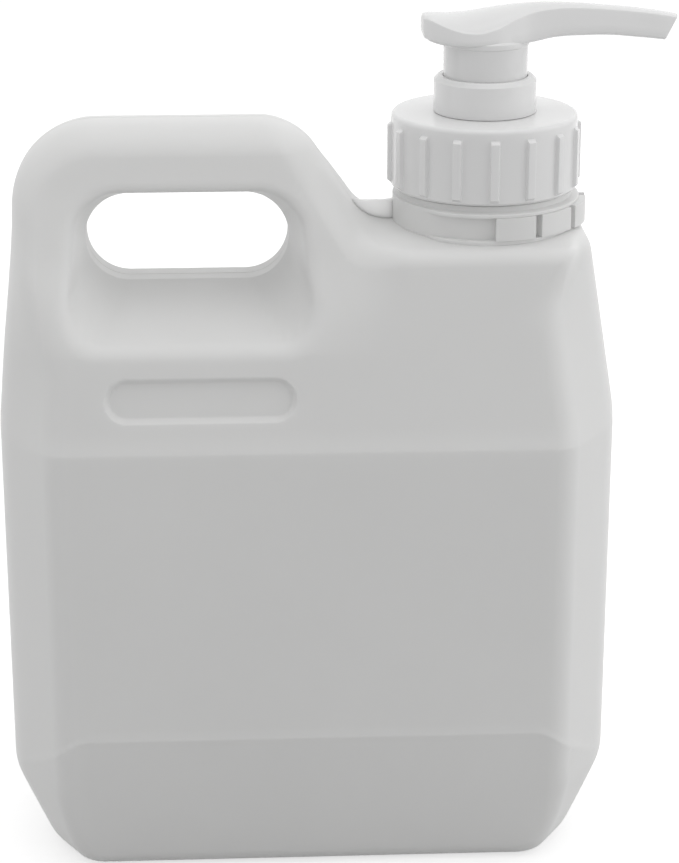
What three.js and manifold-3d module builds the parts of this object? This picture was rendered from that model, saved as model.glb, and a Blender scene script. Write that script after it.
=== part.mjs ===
// Pump bottle: a handled blow-moulded bottle with a screw-on lotion pump.
// Millimetres, +Z up. The base stands on Z = 0, X runs along the width towards the spout,
// and the mould's parting plane is Y = 0 with the front face at negative Y.
import * as THREE from "three";
import { mergeVertices } from "three/addons/utils/BufferGeometryUtils.js";
import Module from "manifold-3d";

const wasm = await Module();
wasm.setup();

// Bottle body
const BODY_WIDTH = 158.4;
const BODY_DEPTH = 84;
const SHOULDER_HEIGHT = 168.4;
const BASE_FRONT_INSET = 9;
const BASE_SIDE_INSET = 9.8;
const BASE_EDGE_RADIUS = 4;
const BASE_PUSH_UP = 1.5;
const BASE_RIM_WIDTH = 7;
const BASE_BAR_WIDTH = 9;
const SIDE_KINK_HEIGHT = 24;
const LOWER_RING_HEIGHT = 39.7;
const UPPER_RING_BELOW_SHOULDER = 50.8;
const UPPER_RING_INSET = 0.5;
const BAND_HEIGHT = 4;
const BAND_INSET = 1.4;
const SHOULDER_CROWN = 6;
const SHOULDER_FRONT_INSET = 9.9;
const SHOULDER_LEFT_INSET = 4.1;
const SHOULDER_RIGHT_INSET = 7.2;
const CORNER_WIDTH = 14.3;
const CORNER_SHARE = 0.68;
const CORNER_POWER = 1.55;
const BOTTLE_WALL = 1.3;

// Handle and finger hole
const HANDLE_RISE = 27.1;
const HANDLE_DEPTH = 31;
const HANDLE_EDGE_RADIUS = 7.5;
const HANDLE_LEFT_RADIUS = 21;
const HANDLE_RIGHT_RADIUS = 13;
const HANDLE_BAR_HEIGHT = 18.2;
const HOLE_HEIGHT = 24.1;
const HOLE_LENGTH = 52;
const HOLE_FROM_LEFT = 22.8;
const HOLE_CORNER_RADIUS = 12;
const HOLE_FLOOR_CURVE = 62;
const HOLE_LEFT_FLARE = 5;
const HOLE_RIGHT_FLARE = 8;
const HOLE_FLARE_DEPTH = 30;
const HOLE_TOP_CURVE = 9;
const SLOPE_TOP_FROM_HOLE = 7.6;
const SLOPE_FOOT_FROM_HOLE = 20.4;
const LEG_FLARE_HEIGHT = 26.4;

// Pinched web between the handle and the neck
const WEB_RISE = 4.9;
const WEB_THICKNESS = 2.4;

// Sunk panel on the front
const PANEL_LENGTH = 47.4;
const PANEL_HEIGHT = 12.6;
const PANEL_OFFSET = 2.7;
const PANEL_BELOW_HOLE = 21.3;
const PANEL_SINK = 1;
const PANEL_BEVEL = 1.1;

// Neck
const NECK_FROM_SIDE = 33.2;
const NECK_BASE_RADIUS = 24.3;
const NECK_BASE_RISE = 7.8;
const NECK_EDGE = 0.6;
const NECK_FINISH_RADIUS = 19.9;
const NECK_BORE_RADIUS = 17.4;
const NECK_STEP_WALL = 2.2;
const RATCHET_DROP = 1.6;
const RATCHET_HEIGHT = 5.6;
const RATCHET_TIP = 1.3;
const RATCHET_FLOOR = 1.5;
const RATCHET_PITCH = 30;
const RATCHET_FIRST_ANGLE = 2;
const RATCHET_TEETH = 4;

// Screw collar
const COLLAR_HEIGHT = 19.2;
const COLLAR_RADIUS = 23.85;
const COLLAR_WALL = 2.3;
const COLLAR_TOP_WALL = 1.8;
const COLLAR_EDGE_RADIUS = 1.6;
const COLLAR_LIFT_OFF_BASE = 0.9;
const RIB_COUNT = 16;
const RIB_WIDTH = 2.2;
const RIB_HEIGHT = 1.05;
const RIB_FIRST_ANGLE = 6.1;
const RIB_TOP_DROP = 2.6;
const RIB_BOTTOM_RISE = 2.1;
const RIB_CHAMFER = 1.5;

// Pump
const FIT_GAP = 0.3;
const FLANGE_THICKNESS = 1.4;
const GASKET_THICKNESS = 1.3;
const BARREL_RADIUS = 7;
const BARREL_WALL = 1.4;
const BARREL_DEPTH = 40.3;
const CAGE_BORE_RADIUS = 3.4;
const CAGE_WALL = 1.8;
const INLET_RADIUS = 1.6;
const INLET_LENGTH = 1.2;
const BALL_RADIUS = 2.3;
const BALL_LIFT = 1.8;
const BALL_STOP_WIDTH = 1;
const TUBE_RADIUS = 3.5;
const TUBE_WALL = 0.9;
const TUBE_SOCKET_LENGTH = 10;
const TUBE_SOCKET_WALL = 1.4;
const TUBE_FOOT_GAP = 2.7;

// Lock ring
const LOCK_RING_RADIUS = 13.1;
const LOCK_RING_RISE = 9.3;
const LOCK_RING_CHAMFER = 1;
const LOCK_RING_FLOOR = 0.9;
const GUIDE_LENGTH = 9;

// Actuator head and stem
const SKIRT_RADIUS = 10.7;
const SKIRT_WALL = 1.3;
const SKIRT_OVERLAP = 0.7;
const HEAD_RISE = 8.8;
const HEAD_STEP = 0.25;
const HEAD_LEFT_REACH = 16.5;
const SPOUT_REACH = 48.6;
const SPOUT_CUT_DEGREES = 30;
const CHANNEL_RADIUS = 1.7;
const STEM_RADIUS = 3.5;
const STEM_BORE_RADIUS = 2;
const STEM_SOCKET_WALL = 1.5;
const STEM_SOCKET_DEPTH = 8;
const STEM_SOCKET_RISE = 1;
const PISTON_LENGTH = 6;
const PISTON_CLEARANCE = 0.2;
const SEAT_RADIUS = 6;
const SEAT_THICKNESS = 2;
const SEAT_PLUG_GAP = 0.3;
const SEAT_PLUG_LENGTH = 4;

// Return spring
const SPRING_WIRE_RADIUS = 0.45;
const SPRING_MEAN_RADIUS = 5.3;
const SPRING_TURNS = 8;

// Smoothness of the round shapes
const ROUND_STEPS = 64;
const SMALL_ROUND_STEPS = 32;
const CORNER_STEPS = 5;

const rad = THREE.MathUtils.degToRad;

// Places worked out from the sizes above
const HALF_WIDTH = BODY_WIDTH / 2;
const HALF_DEPTH = BODY_DEPTH / 2;
const HANDLE_HALF = HANDLE_DEPTH / 2;
const UPPER_RING_HEIGHT = SHOULDER_HEIGHT - UPPER_RING_BELOW_SHOULDER;
const BAND_TOP = UPPER_RING_HEIGHT + BAND_HEIGHT;
const BAND_HALF_DEPTH = HALF_DEPTH - UPPER_RING_INSET - BAND_INSET;
const SHOULDER_HALF_DEPTH = BAND_HALF_DEPTH - SHOULDER_FRONT_INSET;
const SHOULDER_START = SHOULDER_HEIGHT - SHOULDER_CROWN;
const LEG_FLARE_START = SHOULDER_HEIGHT - LEG_FLARE_HEIGHT;
const HANDLE_TOP = SHOULDER_HEIGHT + HANDLE_RISE;
const HOLE_LEFT = HOLE_FROM_LEFT - HALF_WIDTH;
const HOLE_RIGHT = HOLE_LEFT + HOLE_LENGTH;
const HOLE_TOP = HANDLE_TOP - HANDLE_BAR_HEIGHT;
const HOLE_FLOOR = HOLE_TOP - HOLE_HEIGHT;
const HANDLE_SLOPE_TOP_X = HOLE_RIGHT + SLOPE_TOP_FROM_HOLE;
const HANDLE_SLOPE_FOOT_X = HOLE_RIGHT + SLOPE_FOOT_FROM_HOLE;
const PANEL_CENTRE_X = (HOLE_LEFT + HOLE_RIGHT) / 2 + PANEL_OFFSET;
const PANEL_CENTRE_Z = HOLE_FLOOR - PANEL_BELOW_HOLE;
const PUMP_AXIS_X = HALF_WIDTH - NECK_FROM_SIDE;
const NECK_BASE_TOP = SHOULDER_HEIGHT + NECK_BASE_RISE;
const NECK_FOOT = SHOULDER_START - 2;
const RATCHET_TOP = NECK_BASE_TOP - RATCHET_DROP;
const RATCHET_BOTTOM = RATCHET_TOP - RATCHET_HEIGHT;
const COLLAR_BOTTOM = NECK_BASE_TOP + COLLAR_LIFT_OFF_BASE;
const COLLAR_TOP = COLLAR_BOTTOM + COLLAR_HEIGHT;
const LOCK_RING_TOP = COLLAR_TOP + LOCK_RING_RISE;
const HEAD_BOTTOM = LOCK_RING_TOP + HEAD_RISE;
const BARREL_FLOOR = COLLAR_TOP - BARREL_DEPTH;

// Solids

// A closed geometry as a manifold solid, ready for cuts and joins.
function solidOf(geometry) {
  const bare = geometry.clone();
  bare.deleteAttribute("normal");
  bare.deleteAttribute("uv");
  const merged = mergeVertices(bare, 1e-4);
  const mesh = new wasm.Mesh({
    numProp: 3,
    vertProperties: merged.attributes.position.array,
    triVerts: new Uint32Array(merged.index.array),
  });
  return new wasm.Manifold(mesh);
}

// A manifold solid as a flat-shaded geometry.
function geometryOf(solid) {
  const { vertProperties, triVerts } = solid.getMesh();
  const indexed = new THREE.BufferGeometry();
  indexed.setAttribute("position", new THREE.BufferAttribute(vertProperties, 3));
  indexed.setIndex(new THREE.BufferAttribute(triVerts, 1));
  const flat = indexed.toNonIndexed();
  flat.computeVertexNormals();
  return flat;
}

// A skin through loops of equal length, closed by a fan at each end.
function loft(loops) {
  const size = loops[0].length;
  const points = loops.flat();
  const ends = [loops[0], loops[loops.length - 1]];
  const centres = ends.map((loop) => {
    const sum = loop.reduce((total, p) => total.add(p), new THREE.Vector3());
    return sum.divideScalar(size);
  });
  const index = [];
  const firstCentre = points.length;
  const lastCentre = firstCentre + 1;
  const lastLoop = (loops.length - 1) * size;
  for (let j = 0; j < size; j += 1) {
    const next = (j + 1) % size;
    for (let i = 0; i < loops.length - 1; i += 1) {
      const low = i * size;
      const high = low + size;
      index.push(low + j, low + next, high + next, low + j, high + next, high + j);
    }
    index.push(firstCentre, next, j);
    index.push(lastCentre, lastLoop + j, lastLoop + next);
  }
  const geometry = new THREE.BufferGeometry().setFromPoints([...points, ...centres]);
  geometry.setIndex(index);
  return facingOut(geometry);
}

// The same geometry with its faces turned outwards.
function facingOut(geometry) {
  const place = geometry.attributes.position;
  const index = geometry.index.array;
  const [a, b, c] = [new THREE.Vector3(), new THREE.Vector3(), new THREE.Vector3()];
  let volume = 0;
  for (let i = 0; i < index.length; i += 3) {
    a.fromBufferAttribute(place, index[i]);
    b.fromBufferAttribute(place, index[i + 1]);
    c.fromBufferAttribute(place, index[i + 2]);
    volume += a.dot(b.cross(c));
  }
  if (volume < 0) {
    for (let i = 0; i < index.length; i += 3) {
      [index[i + 1], index[i + 2]] = [index[i + 2], index[i + 1]];
    }
  }
  return geometry;
}

// A turned solid about the pump axis, from [radius, height] points.
function turned(profile, steps = ROUND_STEPS) {
  const points = profile.map(([radius, height]) => new THREE.Vector2(radius, height));
  const geometry = new THREE.LatheGeometry([...points, points[0]], steps);
  geometry.rotateX(Math.PI / 2);
  geometry.translate(PUMP_AXIS_X, 0, 0);
  geometry.deleteAttribute("normal");
  geometry.deleteAttribute("uv");
  return solidOf(facingOut(mergeVertices(geometry, 1e-4)));
}

function disc(radius, bottom, top, steps) {
  return turned([[0, bottom], [radius, bottom], [radius, top], [0, top]], steps);
}

function ring(inner, outer, bottom, top, steps) {
  return turned([[inner, bottom], [outer, bottom], [outer, top], [inner, top]], steps);
}

function box(sizeX, sizeY, sizeZ, x, y, z) {
  const geometry = new THREE.BoxGeometry(sizeX, sizeY, sizeZ);
  geometry.translate(x, y, z);
  return solidOf(geometry);
}

// Joins many solids in one.
function join(solids) {
  return solids.reduce((whole, piece) => whole.add(piece));
}

// Straight lines between [place, value] stations.
function between(stations, place) {
  const after = stations.findIndex(([s]) => s >= place);
  if (after === 0) return stations[0][1];
  if (after < 0) return stations[stations.length - 1][1];
  const [s0, v0] = stations[after - 1];
  const [s1, v1] = stations[after];
  return THREE.MathUtils.mapLinear(place, s0, s1, v0, v1);
}

// Bottle

const FRONT_STATIONS = [
  [0, HALF_DEPTH - BASE_FRONT_INSET],
  [LOWER_RING_HEIGHT, HALF_DEPTH],
  [UPPER_RING_HEIGHT, HALF_DEPTH - UPPER_RING_INSET],
  [BAND_TOP, BAND_HALF_DEPTH],
  [SHOULDER_START, SHOULDER_HALF_DEPTH],
];

const sideStations = (shoulderInset) => [
  [0, HALF_WIDTH - BASE_SIDE_INSET],
  [SIDE_KINK_HEIGHT, HALF_WIDTH],
  [BAND_TOP, HALF_WIDTH],
  [SHOULDER_HEIGHT, HALF_WIDTH - shoulderInset],
];
const LEFT_STATIONS = sideStations(SHOULDER_LEFT_INSET);
const RIGHT_STATIONS = sideStations(SHOULDER_RIGHT_INSET);

// How far the rounded bottom edge draws the section in.
function baseRounding(z) {
  const left = Math.max(0, BASE_EDGE_RADIUS - z);
  return BASE_EDGE_RADIUS - Math.sqrt(BASE_EDGE_RADIUS ** 2 - left ** 2);
}

// How much of its depth the crowned shoulder keeps at this height.
function shoulderShare(z) {
  const climb = Math.max(0, z - SHOULDER_START) / (SHOULDER_HEIGHT - SHOULDER_START);
  return Math.sqrt(Math.max(0.06, 1 - climb ** 2));
}

// Half the depth of the body at one height and place along the width.
function halfDepth(x, z) {
  const full = between(FRONT_STATIONS, z) * shoulderShare(z);
  if (z <= LEG_FLARE_START) return full;
  const start = between(FRONT_STATIONS, LEG_FLARE_START);
  const leg = THREE.MathUtils.mapLinear(z, LEG_FLARE_START, SHOULDER_HEIGHT, start, HANDLE_HALF);
  const share = THREE.MathUtils.smoothstep(x, HOLE_RIGHT + 2, HANDLE_SLOPE_FOOT_X - 2);
  return THREE.MathUtils.lerp(leg, full, share);
}

// One level section of the body, as a loop seen from above, drawn in by an inset.
function bodySection(z, inset) {
  const round = baseRounding(z) + inset;
  const left = -between(LEFT_STATIONS, z) + round;
  const crown = SHOULDER_HALF_DEPTH / 2;
  const right = between(RIGHT_STATIONS, z) - round - crown * (1 - shoulderShare(z));
  const legShare = THREE.MathUtils.smoothstep(z, LEG_FLARE_START, SHOULDER_HEIGHT);
  const leftCorner = THREE.MathUtils.lerp(CORNER_WIDTH, HANDLE_EDGE_RADIUS, legShare);
  const leftPower = THREE.MathUtils.lerp(CORNER_POWER, 2, legShare);
  const back = [new THREE.Vector3(right, 0, z)];
  const addCorner = (side, towards, width, power, share) => {
    const depth = halfDepth(side, z) - round;
    const reach = THREE.MathUtils.lerp(depth * CORNER_SHARE, HANDLE_EDGE_RADIUS, share);
    for (let i = 0; i <= CORNER_STEPS; i += 1) {
      const angle = (i / CORNER_STEPS) * (Math.PI / 2);
      const along = Math.sin(angle) ** (2 / power);
      const across = Math.cos(angle) ** (2 / power);
      const x = side + towards * width * (1 - across);
      back.push(new THREE.Vector3(x, depth - reach + reach * along, z));
    }
  };
  addCorner(right, -1, CORNER_WIDTH, CORNER_POWER, 0);
  const frontStart = right - CORNER_WIDTH;
  const frontEnd = left + leftCorner;
  const frontSteps = 16;
  for (let i = 1; i < frontSteps; i += 1) {
    const x = THREE.MathUtils.lerp(frontStart, frontEnd, i / frontSteps);
    back.push(new THREE.Vector3(x, halfDepth(x, z) - round, z));
  }
  const turnAt = back.length;
  addCorner(left, 1, leftCorner, leftPower, legShare);
  back.push(...back.splice(turnAt).reverse());
  back.push(new THREE.Vector3(left, 0, z));
  const front = back.slice(1, -1).reverse();
  return [...back, ...front.map((p) => new THREE.Vector3(p.x, -p.y, p.z))];
}

function bodySolid(inset, bottom) {
  const top = SHOULDER_HEIGHT - inset;
  const fixed = [
    bottom,
    bottom + BASE_EDGE_RADIUS * 0.12,
    bottom + BASE_EDGE_RADIUS * 0.4,
    bottom + BASE_EDGE_RADIUS,
    SIDE_KINK_HEIGHT,
    LOWER_RING_HEIGHT,
    UPPER_RING_HEIGHT,
    BAND_TOP,
    LEG_FLARE_START,
  ];
  const levels = [...fixed];
  const shoulderSteps = 8;
  for (let i = 1; i <= shoulderSteps; i += 1) {
    const share = Math.sin((i / shoulderSteps) * (Math.PI / 2));
    levels.push(THREE.MathUtils.lerp(LEG_FLARE_START, top, share));
  }
  return solidOf(loft(levels.map((z) => bodySection(z, inset))));
}

// The outline of the handle from the front, with its foot buried in the body.
function handleShape() {
  const left = -between(LEFT_STATIONS, SHOULDER_HEIGHT);
  const foot = HOLE_FLOOR - 4;
  const shape = new THREE.Shape();
  shape.moveTo(left, foot);
  shape.lineTo(left, HANDLE_TOP - HANDLE_LEFT_RADIUS);
  shape.quadraticCurveTo(left + 1.5, HANDLE_TOP - 1, left + HANDLE_LEFT_RADIUS + 2, HANDLE_TOP);
  shape.lineTo(HANDLE_SLOPE_TOP_X - HANDLE_RIGHT_RADIUS, HANDLE_TOP);
  shape.quadraticCurveTo(
    HANDLE_SLOPE_TOP_X - 3,
    HANDLE_TOP,
    HANDLE_SLOPE_TOP_X + 2,
    HANDLE_TOP - HANDLE_RIGHT_RADIUS + 3,
  );
  shape.lineTo(HANDLE_SLOPE_FOOT_X, SHOULDER_HEIGHT - 1);
  shape.lineTo(HANDLE_SLOPE_FOOT_X, foot);
  shape.closePath();
  return shape;
}

function handleSolid(inset) {
  const edge = HANDLE_EDGE_RADIUS;
  const geometry = new THREE.ExtrudeGeometry(handleShape(), {
    depth: HANDLE_DEPTH - 2 * edge,
    bevelThickness: edge - inset,
    bevelSize: edge - inset,
    bevelOffset: -edge,
    bevelSegments: 4,
    curveSegments: 8,
  });
  geometry.rotateX(Math.PI / 2);
  geometry.translate(0, HANDLE_HALF - edge, 0);
  return solidOf(geometry);
}

// The space for the fingers, from front to back, grown by an allowance.
function holeSolid(grow) {
  const reach = HALF_DEPTH + 2;
  const steps = 12;
  const loops = [];
  for (let i = 0; i <= steps; i += 1) {
    const y = THREE.MathUtils.lerp(-reach, reach, i / steps);
    const away = Math.abs(y);
    const flare = THREE.MathUtils.smoothstep(away, 0, HOLE_FLARE_DEPTH);
    const rise = Math.max(0, away - HANDLE_HALF / 2);
    const left = HOLE_LEFT - HOLE_LEFT_FLARE * flare - grow;
    const right = HOLE_RIGHT + HOLE_RIGHT_FLARE * flare + grow;
    const floor = HOLE_FLOOR - away ** 2 / (2 * HOLE_FLOOR_CURVE) - grow;
    const roof = HOLE_TOP + rise ** 2 / (2 * HOLE_TOP_CURVE) + grow;
    const radius = Math.min(HOLE_CORNER_RADIUS, (HOLE_TOP - HOLE_FLOOR) / 2 - 0.1) + grow;
    const shape = new THREE.Shape();
    shape.absarc(right - radius, roof - radius, radius, 0, Math.PI / 2);
    shape.absarc(left + radius, roof - radius, radius, Math.PI / 2, Math.PI);
    shape.absarc(left + radius, floor + radius, radius, Math.PI, Math.PI * 1.5);
    shape.absarc(right - radius, floor + radius, radius, Math.PI * 1.5, Math.PI * 2);
    const corners = shape.curves.filter((curve) => curve.isEllipseCurve);
    const loop = corners.flatMap((curve) => curve.getPoints(CORNER_STEPS));
    loops.push(loop.map((p) => new THREE.Vector3(p.x, y, p.y)));
  }
  return solidOf(loft(loops));
}

// The sunk panel's cutter, laid on the sloping front face and grown by an allowance.
function panelCutter(grow) {
  const half = PANEL_HEIGHT / 2 + grow;
  const straight = (PANEL_LENGTH - PANEL_HEIGHT) / 2;
  const depths = [PANEL_SINK + grow, 0, -4];
  const halves = [half - PANEL_BEVEL, half, half];
  const loops = depths.map((depth, level) => {
    const shape = new THREE.Shape();
    shape.absarc(straight, 0, halves[level], -Math.PI / 2, Math.PI / 2);
    shape.absarc(-straight, 0, halves[level], Math.PI / 2, Math.PI * 1.5);
    const ends = shape.curves.filter((curve) => curve.isEllipseCurve);
    const outline = ends.flatMap((curve) => curve.getPoints(8));
    return outline.map((p) => new THREE.Vector3(p.x, depth, p.y));
  });
  const geometry = loft(loops);
  const tilt = Math.atan2(SHOULDER_FRONT_INSET, SHOULDER_START - BAND_TOP);
  geometry.rotateX(-tilt);
  geometry.translate(PANEL_CENTRE_X, -between(FRONT_STATIONS, PANEL_CENTRE_Z), PANEL_CENTRE_Z);
  return solidOf(geometry);
}


// Height of the gasket, the flange and the mouth under the collar's top.
const FLANGE_TOP = COLLAR_TOP - COLLAR_TOP_WALL - FIT_GAP;
const FLANGE_BOTTOM = FLANGE_TOP - FLANGE_THICKNESS;
const GASKET_TOP = FLANGE_BOTTOM - FIT_GAP;
const GASKET_BOTTOM = GASKET_TOP - GASKET_THICKNESS;
const MOUTH_TOP = GASKET_BOTTOM - FIT_GAP;

// A point on a circle about the pump axis, its angle measured from the front towards the spout.
function aboutAxis(radius, degrees) {
  const angle = rad(degrees);
  return new THREE.Vector2(PUMP_AXIS_X + radius * Math.sin(angle), -radius * Math.cos(angle));
}

// An upright prism through points of the plan.
function prism(points, bottom, top) {
  const loops = [bottom, top].map((z) => points.map((p) => new THREE.Vector3(p.x, p.y, z)));
  return solidOf(loft(loops));
}

// The sawtooth band round the neck: teeth that stand out, and the hollows they run down into.
function ratchetTools() {
  const tips = [];
  const hollows = [];
  const deep = NECK_BASE_RADIUS - RATCHET_FLOOR;
  const tip = NECK_BASE_RADIUS + RATCHET_TIP;
  for (const turn of [0, 180]) {
    for (let i = 0; i < RATCHET_TEETH; i += 1) {
      const step = turn + RATCHET_FIRST_ANGLE + i * RATCHET_PITCH;
      const flush = step + RATCHET_PITCH / 2;
      const inner = NECK_BASE_RADIUS - 1;
      tips.push(prism([
        aboutAxis(inner, step),
        aboutAxis(tip, step),
        aboutAxis(NECK_BASE_RADIUS + RATCHET_TIP / 2, step + RATCHET_PITCH / 4),
        aboutAxis(NECK_BASE_RADIUS - 0.2, flush),
        aboutAxis(inner, flush),
      ], RATCHET_BOTTOM, RATCHET_TOP));
      hollows.push(prism([
        aboutAxis(deep, step),
        aboutAxis(tip + 1, step),
        aboutAxis(tip + 1, step - RATCHET_PITCH / 2),
        aboutAxis(NECK_BASE_RADIUS + 0.2, step - RATCHET_PITCH / 2),
        aboutAxis(NECK_BASE_RADIUS - RATCHET_FLOOR / 2, step - RATCHET_PITCH / 4),
      ], RATCHET_BOTTOM, RATCHET_TOP));
    }
  }
  return { tips: join(tips), hollows: join(hollows) };
}

function bottleSolid() {
  const neck = turned([
    [0, NECK_FOOT],
    [NECK_BASE_RADIUS, NECK_FOOT],
    [NECK_BASE_RADIUS, NECK_BASE_TOP - NECK_EDGE],
    [NECK_BASE_RADIUS - NECK_EDGE, NECK_BASE_TOP],
    [NECK_FINISH_RADIUS, NECK_BASE_TOP],
    [NECK_FINISH_RADIUS, MOUTH_TOP],
    [0, MOUTH_TOP],
  ]);
  const webLeft = HANDLE_SLOPE_FOOT_X - 8;
  const webRight = PUMP_AXIS_X - NECK_BASE_RADIUS + 2;
  const webTop = SHOULDER_HEIGHT + WEB_RISE;
  const web = box(
    webRight - webLeft,
    WEB_THICKNESS,
    webTop - NECK_FOOT,
    (webLeft + webRight) / 2,
    0,
    (webTop + NECK_FOOT) / 2,
  );
  const { tips, hollows } = ratchetTools();
  const floorRise = prism(
    bodySection(BASE_EDGE_RADIUS, BASE_RIM_WIDTH),
    -1,
    BASE_PUSH_UP,
  ).subtract(box(BODY_WIDTH, BASE_BAR_WIDTH, BASE_PUSH_UP * 4, 0, 0, 0));
  const outside = join([bodySolid(0, 0), handleSolid(0), neck, web, tips])
    .subtract(holeSolid(0))
    .subtract(hollows)
    .subtract(panelCutter(0))
    .subtract(floorRise);
  const innerFloor = BASE_PUSH_UP + BOTTLE_WALL;
  const mouth = disc(NECK_BORE_RADIUS, NECK_FOOT, MOUTH_TOP + 1);
  const throatRadius = NECK_BASE_RADIUS - RATCHET_FLOOR - BOTTLE_WALL;
  const throat = disc(throatRadius, NECK_FOOT, NECK_BASE_TOP - NECK_STEP_WALL);
  const neckWall = ring(throatRadius, NECK_BASE_RADIUS, NECK_FOOT, MOUTH_TOP);
  const inside = join([bodySolid(BOTTLE_WALL, innerFloor), handleSolid(BOTTLE_WALL)])
    .subtract(holeSolid(BOTTLE_WALL))
    .subtract(panelCutter(BOTTLE_WALL))
    .subtract(neckWall)
    .add(throat)
    .add(mouth);
  return outside.subtract(inside);
}

// Screw collar

function collarSolid() {
  const edge = COLLAR_EDGE_RADIUS;
  const bore = COLLAR_RADIUS - COLLAR_WALL;
  const underside = COLLAR_TOP - COLLAR_TOP_WALL;
  const hole = BARREL_RADIUS + BARREL_WALL + FIT_GAP;
  const rounding = [0, 30, 60, 90].map((degrees) => [
    COLLAR_RADIUS - edge + edge * Math.cos(rad(degrees)),
    COLLAR_TOP - edge + edge * Math.sin(rad(degrees)),
  ]);
  const shell = turned([
    [bore, COLLAR_BOTTOM],
    [COLLAR_RADIUS, COLLAR_BOTTOM],
    ...rounding,
    [hole, COLLAR_TOP],
    [hole, underside],
    [bore, underside],
  ]);
  const ribBottom = COLLAR_BOTTOM + RIB_BOTTOM_RISE - RIB_CHAMFER;
  const ribTop = COLLAR_TOP - RIB_TOP_DROP;
  const crest = COLLAR_RADIUS + RIB_HEIGHT;
  const root = COLLAR_RADIUS - RIB_HEIGHT / 2;
  const ribs = [];
  for (let i = 0; i < RIB_COUNT; i += 1) {
    const side = [[root, ribBottom], [COLLAR_RADIUS, ribBottom], [crest, ribBottom + RIB_CHAMFER]];
    const upper = [[crest, ribTop - RIB_CHAMFER / 2], [COLLAR_RADIUS, ribTop], [root, ribTop]];
    const outline = [...side, ...upper];
    const faces = [-RIB_WIDTH / 2, RIB_WIDTH / 2];
    const loops = faces.map((x) => outline.map(([y, z]) => new THREE.Vector3(x, -y, z)));
    const rib = loft(loops);
    rib.rotateZ(rad(RIB_FIRST_ANGLE + (i * 360) / RIB_COUNT));
    rib.translate(PUMP_AXIS_X, 0, 0);
    ribs.push(solidOf(rib));
  }
  return join([shell, ...ribs]);
}

// Pump body: barrel with its flange, the ball's cage and the dip tube's socket.

const BARREL_OUTER = BARREL_RADIUS + BARREL_WALL;
const CAGE_OUTER = CAGE_BORE_RADIUS + CAGE_WALL;
const BALL_SEAT_CENTRE = BARREL_FLOOR - BALL_LIFT - BALL_RADIUS * 2;
const CONE_HEIGHT = CAGE_BORE_RADIUS - INLET_RADIUS;
const CONE_BOTTOM = BALL_SEAT_CENTRE - BALL_RADIUS * Math.SQRT2 + INLET_RADIUS - FIT_GAP * Math.SQRT2;
const INLET_BOTTOM = CONE_BOTTOM - INLET_LENGTH;
const SOCKET_BOTTOM = INLET_BOTTOM - TUBE_SOCKET_LENGTH;
const SOCKET_BORE = TUBE_RADIUS + FIT_GAP;
const SOCKET_OUTER = SOCKET_BORE + TUBE_SOCKET_WALL;

function housingSolid() {
  const flangeRadius = COLLAR_RADIUS - COLLAR_WALL - 2 * FIT_GAP - 1;
  const body = turned([
    [SOCKET_BORE, SOCKET_BOTTOM],
    [SOCKET_OUTER, SOCKET_BOTTOM],
    [SOCKET_OUTER, INLET_BOTTOM],
    [CAGE_OUTER, CONE_BOTTOM + CONE_HEIGHT],
    [CAGE_OUTER, BARREL_FLOOR - BARREL_WALL - 1],
    [BARREL_OUTER, BARREL_FLOOR - BARREL_WALL + 1],
    [BARREL_OUTER, FLANGE_BOTTOM],
    [flangeRadius, FLANGE_BOTTOM],
    [flangeRadius, FLANGE_TOP],
    [BARREL_OUTER, FLANGE_TOP],
    [BARREL_OUTER, COLLAR_TOP],
    [BARREL_RADIUS, COLLAR_TOP],
    [BARREL_RADIUS, BARREL_FLOOR],
    [CAGE_BORE_RADIUS, BARREL_FLOOR],
    [CAGE_BORE_RADIUS, CONE_BOTTOM + CONE_HEIGHT],
    [INLET_RADIUS, CONE_BOTTOM],
    [INLET_RADIUS, INLET_BOTTOM],
    [SOCKET_BORE, INLET_BOTTOM],
  ], SMALL_ROUND_STEPS);
  const stopHeight = BALL_STOP_WIDTH;
  const stopReach = CAGE_BORE_RADIUS - BALL_RADIUS + 1;
  const stops = [0, 90, 180, 270].map((degrees) => {
    const stop = new THREE.BoxGeometry(stopReach + 1, BALL_STOP_WIDTH, stopHeight);
    stop.translate(CAGE_BORE_RADIUS + 1 - (stopReach + 1) / 2, 0, BARREL_FLOOR - stopHeight / 2);
    stop.rotateZ(rad(degrees));
    stop.translate(PUMP_AXIS_X, 0, 0);
    return solidOf(stop);
  });
  return join([body, ...stops]);
}

function gasketSolid() {
  return ring(BARREL_OUTER + 2, NECK_FINISH_RADIUS - FIT_GAP, GASKET_BOTTOM, GASKET_TOP);
}

function ballSolid() {
  const ball = new THREE.SphereGeometry(BALL_RADIUS, 16, 10);
  ball.translate(PUMP_AXIS_X, 0, BALL_SEAT_CENTRE);
  return solidOf(ball);
}

function dipTubeSolid() {
  const foot = BASE_PUSH_UP + BOTTLE_WALL + TUBE_FOOT_GAP;
  return ring(TUBE_RADIUS - TUBE_WALL, TUBE_RADIUS, foot, INLET_BOTTOM - FIT_GAP, 20);
}

// Lock ring with its guide tube

const LOCK_RING_BASE = COLLAR_TOP + FIT_GAP;
const LOCK_RING_FLOOR_TOP = LOCK_RING_BASE + LOCK_RING_FLOOR;
const GUIDE_BOTTOM = COLLAR_TOP - GUIDE_LENGTH;

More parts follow.
